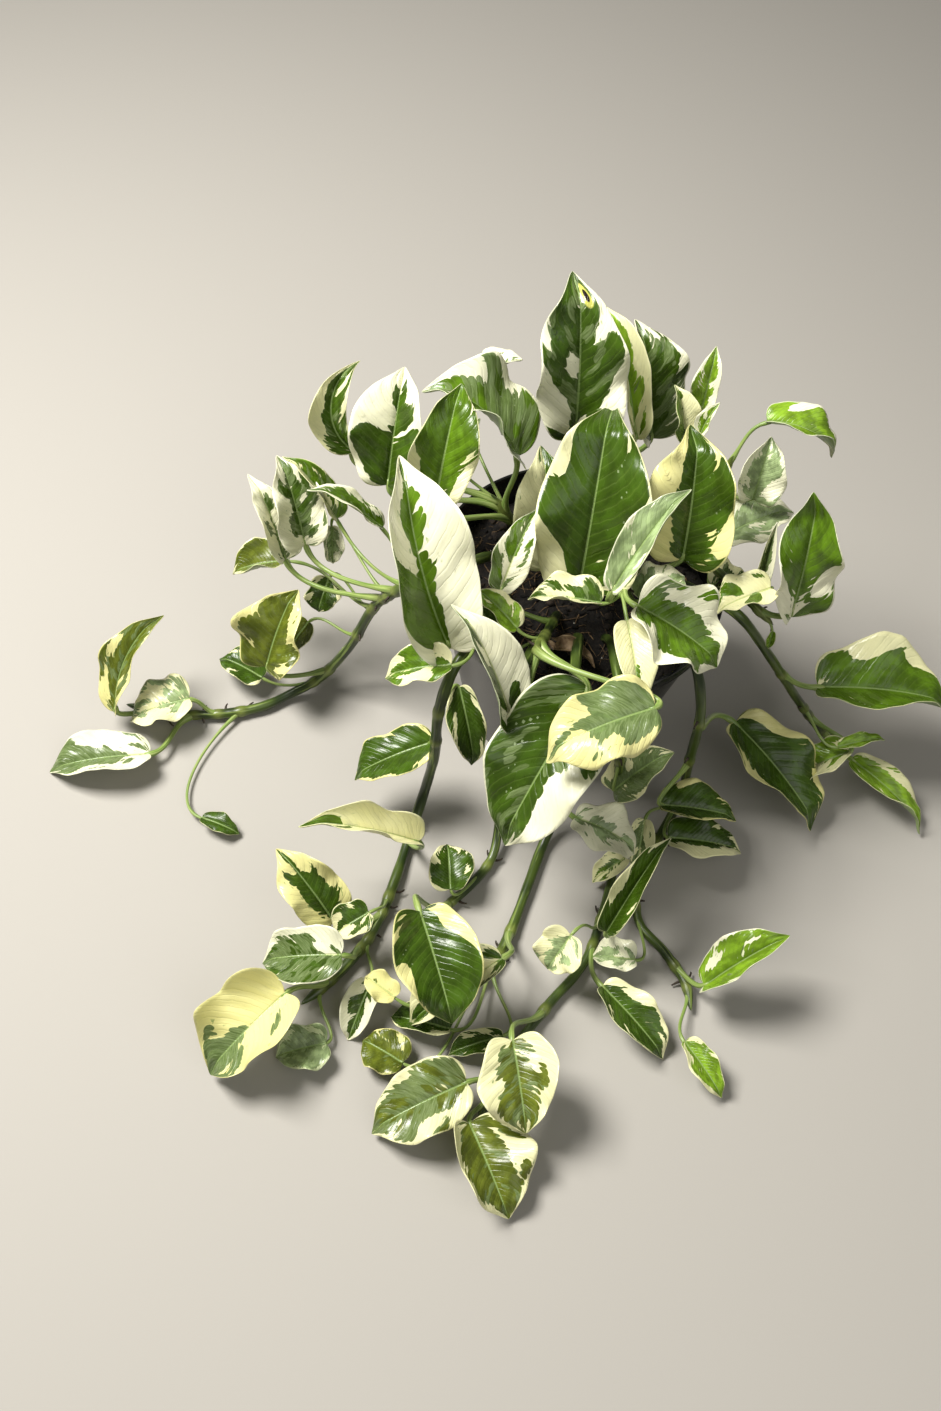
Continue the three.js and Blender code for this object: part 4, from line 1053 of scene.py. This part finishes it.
def make_pot(material):
    """Thin plastic pot: tapered wall, band with a rolled lip, and a base with a raised ring and holes."""
    pot = make_object("pot_shell", [plain_part(*lathe(profile)) for profile in pot_profiles()], [material])
    cutters = []
    for x, y in circle(DRAIN_CIRCLE_RADIUS * MM, DRAIN_HOLES):
        bpy.ops.mesh.primitive_cylinder_add(
            vertices=40, radius=DRAIN_HOLE_RADIUS * MM, depth=8 * MM, location=(x, y, 0))
        cutters.append(bpy.context.object)
    cutter = cutters[0]
    with bpy.context.temp_override(active_object=cutter, selected_editable_objects=cutters):
        bpy.ops.object.join()
    cut = pot.modifiers.new("drain holes", "BOOLEAN")
    cut.operation = "DIFFERENCE"
    cut.object = cutter
    cut.solver = "EXACT"
    depsgraph = bpy.context.evaluated_depsgraph_get()
    mesh = bpy.data.meshes.new_from_object(pot.evaluated_get(depsgraph))
    pot.modifiers.clear()
    pot.data = mesh
    bpy.data.objects.remove(cutter)
    return pot


def soil_height(x, y, edge=SOIL_EDGE):
    """The peat's top at x, y in mm: a low mound, lumpy and crumbly."""
    from_centre = math.hypot(x, y) / edge
    mound = SOIL_MOUND * 0.5 * (1 - from_centre ** 2) - 2.2 * max(0.0, from_centre - 0.78) / 0.22
    lumps = noise.noise(Vector((x / 17, y / 17, 3))) * 1.8
    crumbs = noise.fractal(Vector((x / 4.2, y / 4.2, 9)), 0.8, 2.1, 4) * 1.5
    return SOIL_TOP - 1.2 + mound + lumps + crumbs


def make_soil(material):
    """The peat: a smooth-sided body filling the pot, with a crumbly top."""
    edge = SOIL_EDGE - 0.25
    edge_low = pot_wall_radius(SOIL_BOTTOM) - POT_WALL - 0.5
    points = [(0.0, 0.0, soil_height(0, 0, edge))]
    for ring in range(1, SOIL_RINGS + 1):
        around = circle(edge * ring / SOIL_RINGS, SOIL_SEGMENTS)
        points += [(x, y, soil_height(x, y, edge)) for x, y in around]
    for radius, z in ((edge - 0.4, SOIL_TOP - 12), (edge_low, SOIL_BOTTOM)):
        points += [(x, y, z) for x, y in circle(radius, SOIL_SEGMENTS)]
    points.append((0.0, 0.0, SOIL_BOTTOM))
    faces = []
    for k in range(SOIL_SEGMENTS):
        after = (k + 1) % SOIL_SEGMENTS
        faces.append((0, 1 + k, 1 + after))
        for ring in range(SOIL_RINGS + 1):
            low = 1 + ring * SOIL_SEGMENTS
            high = low + SOIL_SEGMENTS
            faces.append((low + k, high + k, high + after, low + after))
        last = 1 + (SOIL_RINGS + 1) * SOIL_SEGMENTS
        faces.append((last + k, len(points) - 1, last + after))
    return make_object("peat", [plain_part(np.array(points), faces)], [material])


def on_soil(spread):
    """A random place on the peat's top: x, y and height in mm."""
    radius = SOIL_EDGE * spread * math.sqrt(rng.random())
    angle = rng.uniform(0, 2 * math.pi)
    x, y = radius * math.cos(angle), radius * math.sin(angle)
    return x, y, soil_height(x, y)


def chip(size):
    """A rough lump of that size in mm, with flattened faces."""
    shape = bmesh.new()
    bmesh.ops.create_icosphere(shape, subdivisions=2, radius=1)
    stretch = [rng.uniform(0.5, 1.1), rng.uniform(0.35, 0.8), rng.uniform(0.2, 0.55)]
    shift = Vector((rng.uniform(0, 50), 0, 0))
    points = []
    for vert in shape.verts:
        rough = 1 + 0.35 * noise.noise(vert.co * 1.7 + shift)
        points.append([c * s * rough * size for c, s in zip(vert.co, stretch)])
    faces = [[v.index for v in face.verts] for face in shape.faces]
    shape.free()
    heading = Matrix.Rotation(rng.uniform(0, 2 * math.pi), 3, "Z")
    tilt = Matrix.Rotation(rng.uniform(-0.5, 0.5), 3, "X")
    return np.array(points) @ np.array(heading @ tilt).T, faces


def scatter_chips(name, count, sizes, material, spread=0.96):
    parts = []
    for _ in range(count):
        points, faces = chip(rng.uniform(*sizes))
        parts.append(plain_part(points + np.array(on_soil(spread)) + [0, 0, 0.2], faces))
    return make_object(name, parts, [material])


def scatter_fibres(name, count, material, spread=0.9):
    """Thin peat fibres lying on the top, each bent and half sunk."""
    parts = []
    for _ in range(count):
        x, y, _ = on_soil(spread)
        heading = rng.uniform(0, 2 * math.pi)
        long = rng.uniform(5, 20)
        bow = rng.uniform(-0.35, 0.35) * long
        t = np.linspace(-0.5, 0.5, 9)
        cx = x + t * long * math.cos(heading) - (0.25 - t * t) * bow * math.sin(heading)
        cy = y + t * long * math.sin(heading) + (0.25 - t * t) * bow * math.cos(heading)
        cz = np.array([soil_height(a, b) for a, b in zip(cx, cy)]) + rng.uniform(0.0, 1.0)
        radii = rng.uniform(0.16, 0.42) * (1.1 - np.abs(t) * 1.4)
        parts.append(plain_part(*swept(np.stack([cx, cy, cz], -1), radii, 5)))
    return make_object(name, parts, [material])


def make_sheath(name, material):
    """The papery sheath of an old leaf, dry and rolled, lying on the peat at the front."""
    sheath = large(
        name, 0, (-16, -47, 117), -28, 16, 36, 15, curl=(75, 60), twist=40, bend=50, ripple=0.2, quilt=0.2)
    return make_object(name, [blade_part({**sheath, "seed": 2.0})], [material])


# ---------------------------------------------------------------- the plant
# Plain materials: dark and light colour, scale of the grain, roughness, strength and depth of the bump
PLAIN_LOOKS = {
    "aerial_roots": ((0.012, 0.008, 0.004), (0.05, 0.032, 0.015), 900, 0.7, 0.4, 0.0003),
    "pot_plastic": ((0.0045, 0.0048, 0.005), (0.008, 0.008, 0.0085), 160, 0.24, 0.06, 0.0002),
    "peat_crumb": ((0.002, 0.0015, 0.001), (0.014, 0.0095, 0.006), 420, 0.95, 0.9, 0.0012),
    "bark": ((0.007, 0.0045, 0.003), (0.04, 0.025, 0.014), 300, 0.85, 0.6, 0.0006),
    "fibre": ((0.06, 0.035, 0.015), (0.24, 0.15, 0.07), 300, 0.8, 0.2, 0.0002),
    "dry_skin": ((0.16, 0.1, 0.05), (0.42, 0.3, 0.17), 260, 0.7, 0.5, 0.0005),
    "pale_grain": ((0.35, 0.32, 0.26), (0.62, 0.6, 0.54), 800, 0.8, 0.3, 0.0002),
}
variegation = variegation_group()
stalks = stalk_material()
stem_look = stem_material()
plain = {name: plain_material(name, *look) for name, look in PLAIN_LOOKS.items()}

leaf_number = 0
for stem_number, stem in enumerate(STEMS):
    curve = stem_curve(stem["route"])
    seed = 1.7 * stem_number + 0.4
    parts = [stem_part(stem, curve, seed)] + root_parts(stem, curve, seed)
    body = make_object(stem["name"] + "_skin", parts, [stem_look, plain["aerial_roots"]])
    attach(body, "root")
    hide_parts(stem["name"])
    for leaf in stem["leaves"]:
        leaf_number += 1
        leaf["seed"] = 3.7 * leaf_number
        leaf["twist"] += rng.uniform(-MOST_CHANCE_TWIST, MOST_CHANCE_TWIST)
        leaf["curl"] = tuple(curl + rng.uniform(*CHANCE_CURL) for curl in leaf["curl"])
        look = leaf_material(leaf["name"], variegation, leaf["seed"])
        parts = [blade_part(leaf), petiole_part(leaf, curve)]
        blade = make_object(leaf["name"] + "_blade", parts, [look, stalks])
        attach(blade, "root")
        if not leaf["joined"]:
            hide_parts(leaf["name"])

pot = make_pot(plain["pot_plastic"])
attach(pot, "root")
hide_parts("nursery_pot")

peat = make_soil(plain["peat_crumb"])
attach(peat, "root")
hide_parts("potting_soil")
for extra in (
    scatter_chips("bark_chips", 150, (1.5, 5.5), plain["bark"]),
    scatter_chips("peat_lumps", 420, (1.0, 3.2), plain["peat_crumb"]),
    scatter_chips("pale_grains", 26, (0.5, 1.1), plain["pale_grain"]),
    scatter_fibres("peat_fibres", 260, plain["fibre"]),
    make_sheath("dry_sheath", plain["dry_skin"]),
):
    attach(extra, "root")

# ---------------------------------------------------------------- stage, light and camera, in metres
FLOOR_SIZE = 3.0
FLOOR_BELOW = 0.0002
FLOOR_COLOUR = (0.4, 0.38, 0.345)
AIR_COLOUR = (1.0, 0.99, 0.93)
AIR_LIGHT = 0.17
LENS = 33.2
CAMERA_PLACE = (-0.0551, -0.4967, 0.7245)
CAMERA_TILT = 33.5
CAMERA_TURN = 6.8


def soft_light(name, place, aim, size, power, colour):
    lamp = bpy.data.lights.new(name, "AREA")
    lamp.shape = "RECTANGLE"
    lamp.size = lamp.size_y = size
    lamp.energy = power
    lamp.color = colour
    made = bpy.data.objects.new(name, lamp)
    made.location = place
    made.rotation_euler = (Vector(aim) - Vector(place)).to_track_quat("-Z", "Y").to_euler()
    bpy.context.scene.collection.objects.link(made)


bpy.ops.mesh.primitive_plane_add(size=FLOOR_SIZE, location=(0, 0, -FLOOR_BELOW))
floor = bpy.context.object
floor.name = "floor"
floor_look, _, _ = new_material(
    "floor_plain", Base_Color=FLOOR_COLOUR, Roughness=0.8, Specular_IOR_Level=0.2)
floor.data.materials.append(floor_look)

soft_light("window", (-0.75, 0.02, 1.25), (0, -0.08, 0.1), 0.5, 37, (1.0, 0.98, 0.94))
soft_light("room", (0.7, -0.9, 1.2), (0, -0.1, 0.1), 1.2, 6, (1.0, 0.99, 0.96))

world = bpy.data.worlds.new("room_light")
world.use_nodes = True
air = world.node_tree.nodes["Background"].inputs
air["Color"].default_value = (*AIR_COLOUR, 1)
air["Strength"].default_value = AIR_LIGHT
bpy.context.scene.world = world
bpy.context.scene.view_settings.view_transform = "Standard"

camera_data = bpy.data.cameras.new("camera")
camera_data.lens = LENS
camera_data.sensor_width = 36
camera_data.clip_start = 0.01
camera = bpy.data.objects.new("camera", camera_data)
camera.location = CAMERA_PLACE
tilt = Matrix.Rotation(math.radians(CAMERA_TILT), 3, "X")
turn = Matrix.Rotation(math.radians(CAMERA_TURN), 3, "Z")
camera.rotation_euler = (tilt @ turn).to_euler()
bpy.context.scene.collection.objects.link(camera)
bpy.context.scene.camera = camera
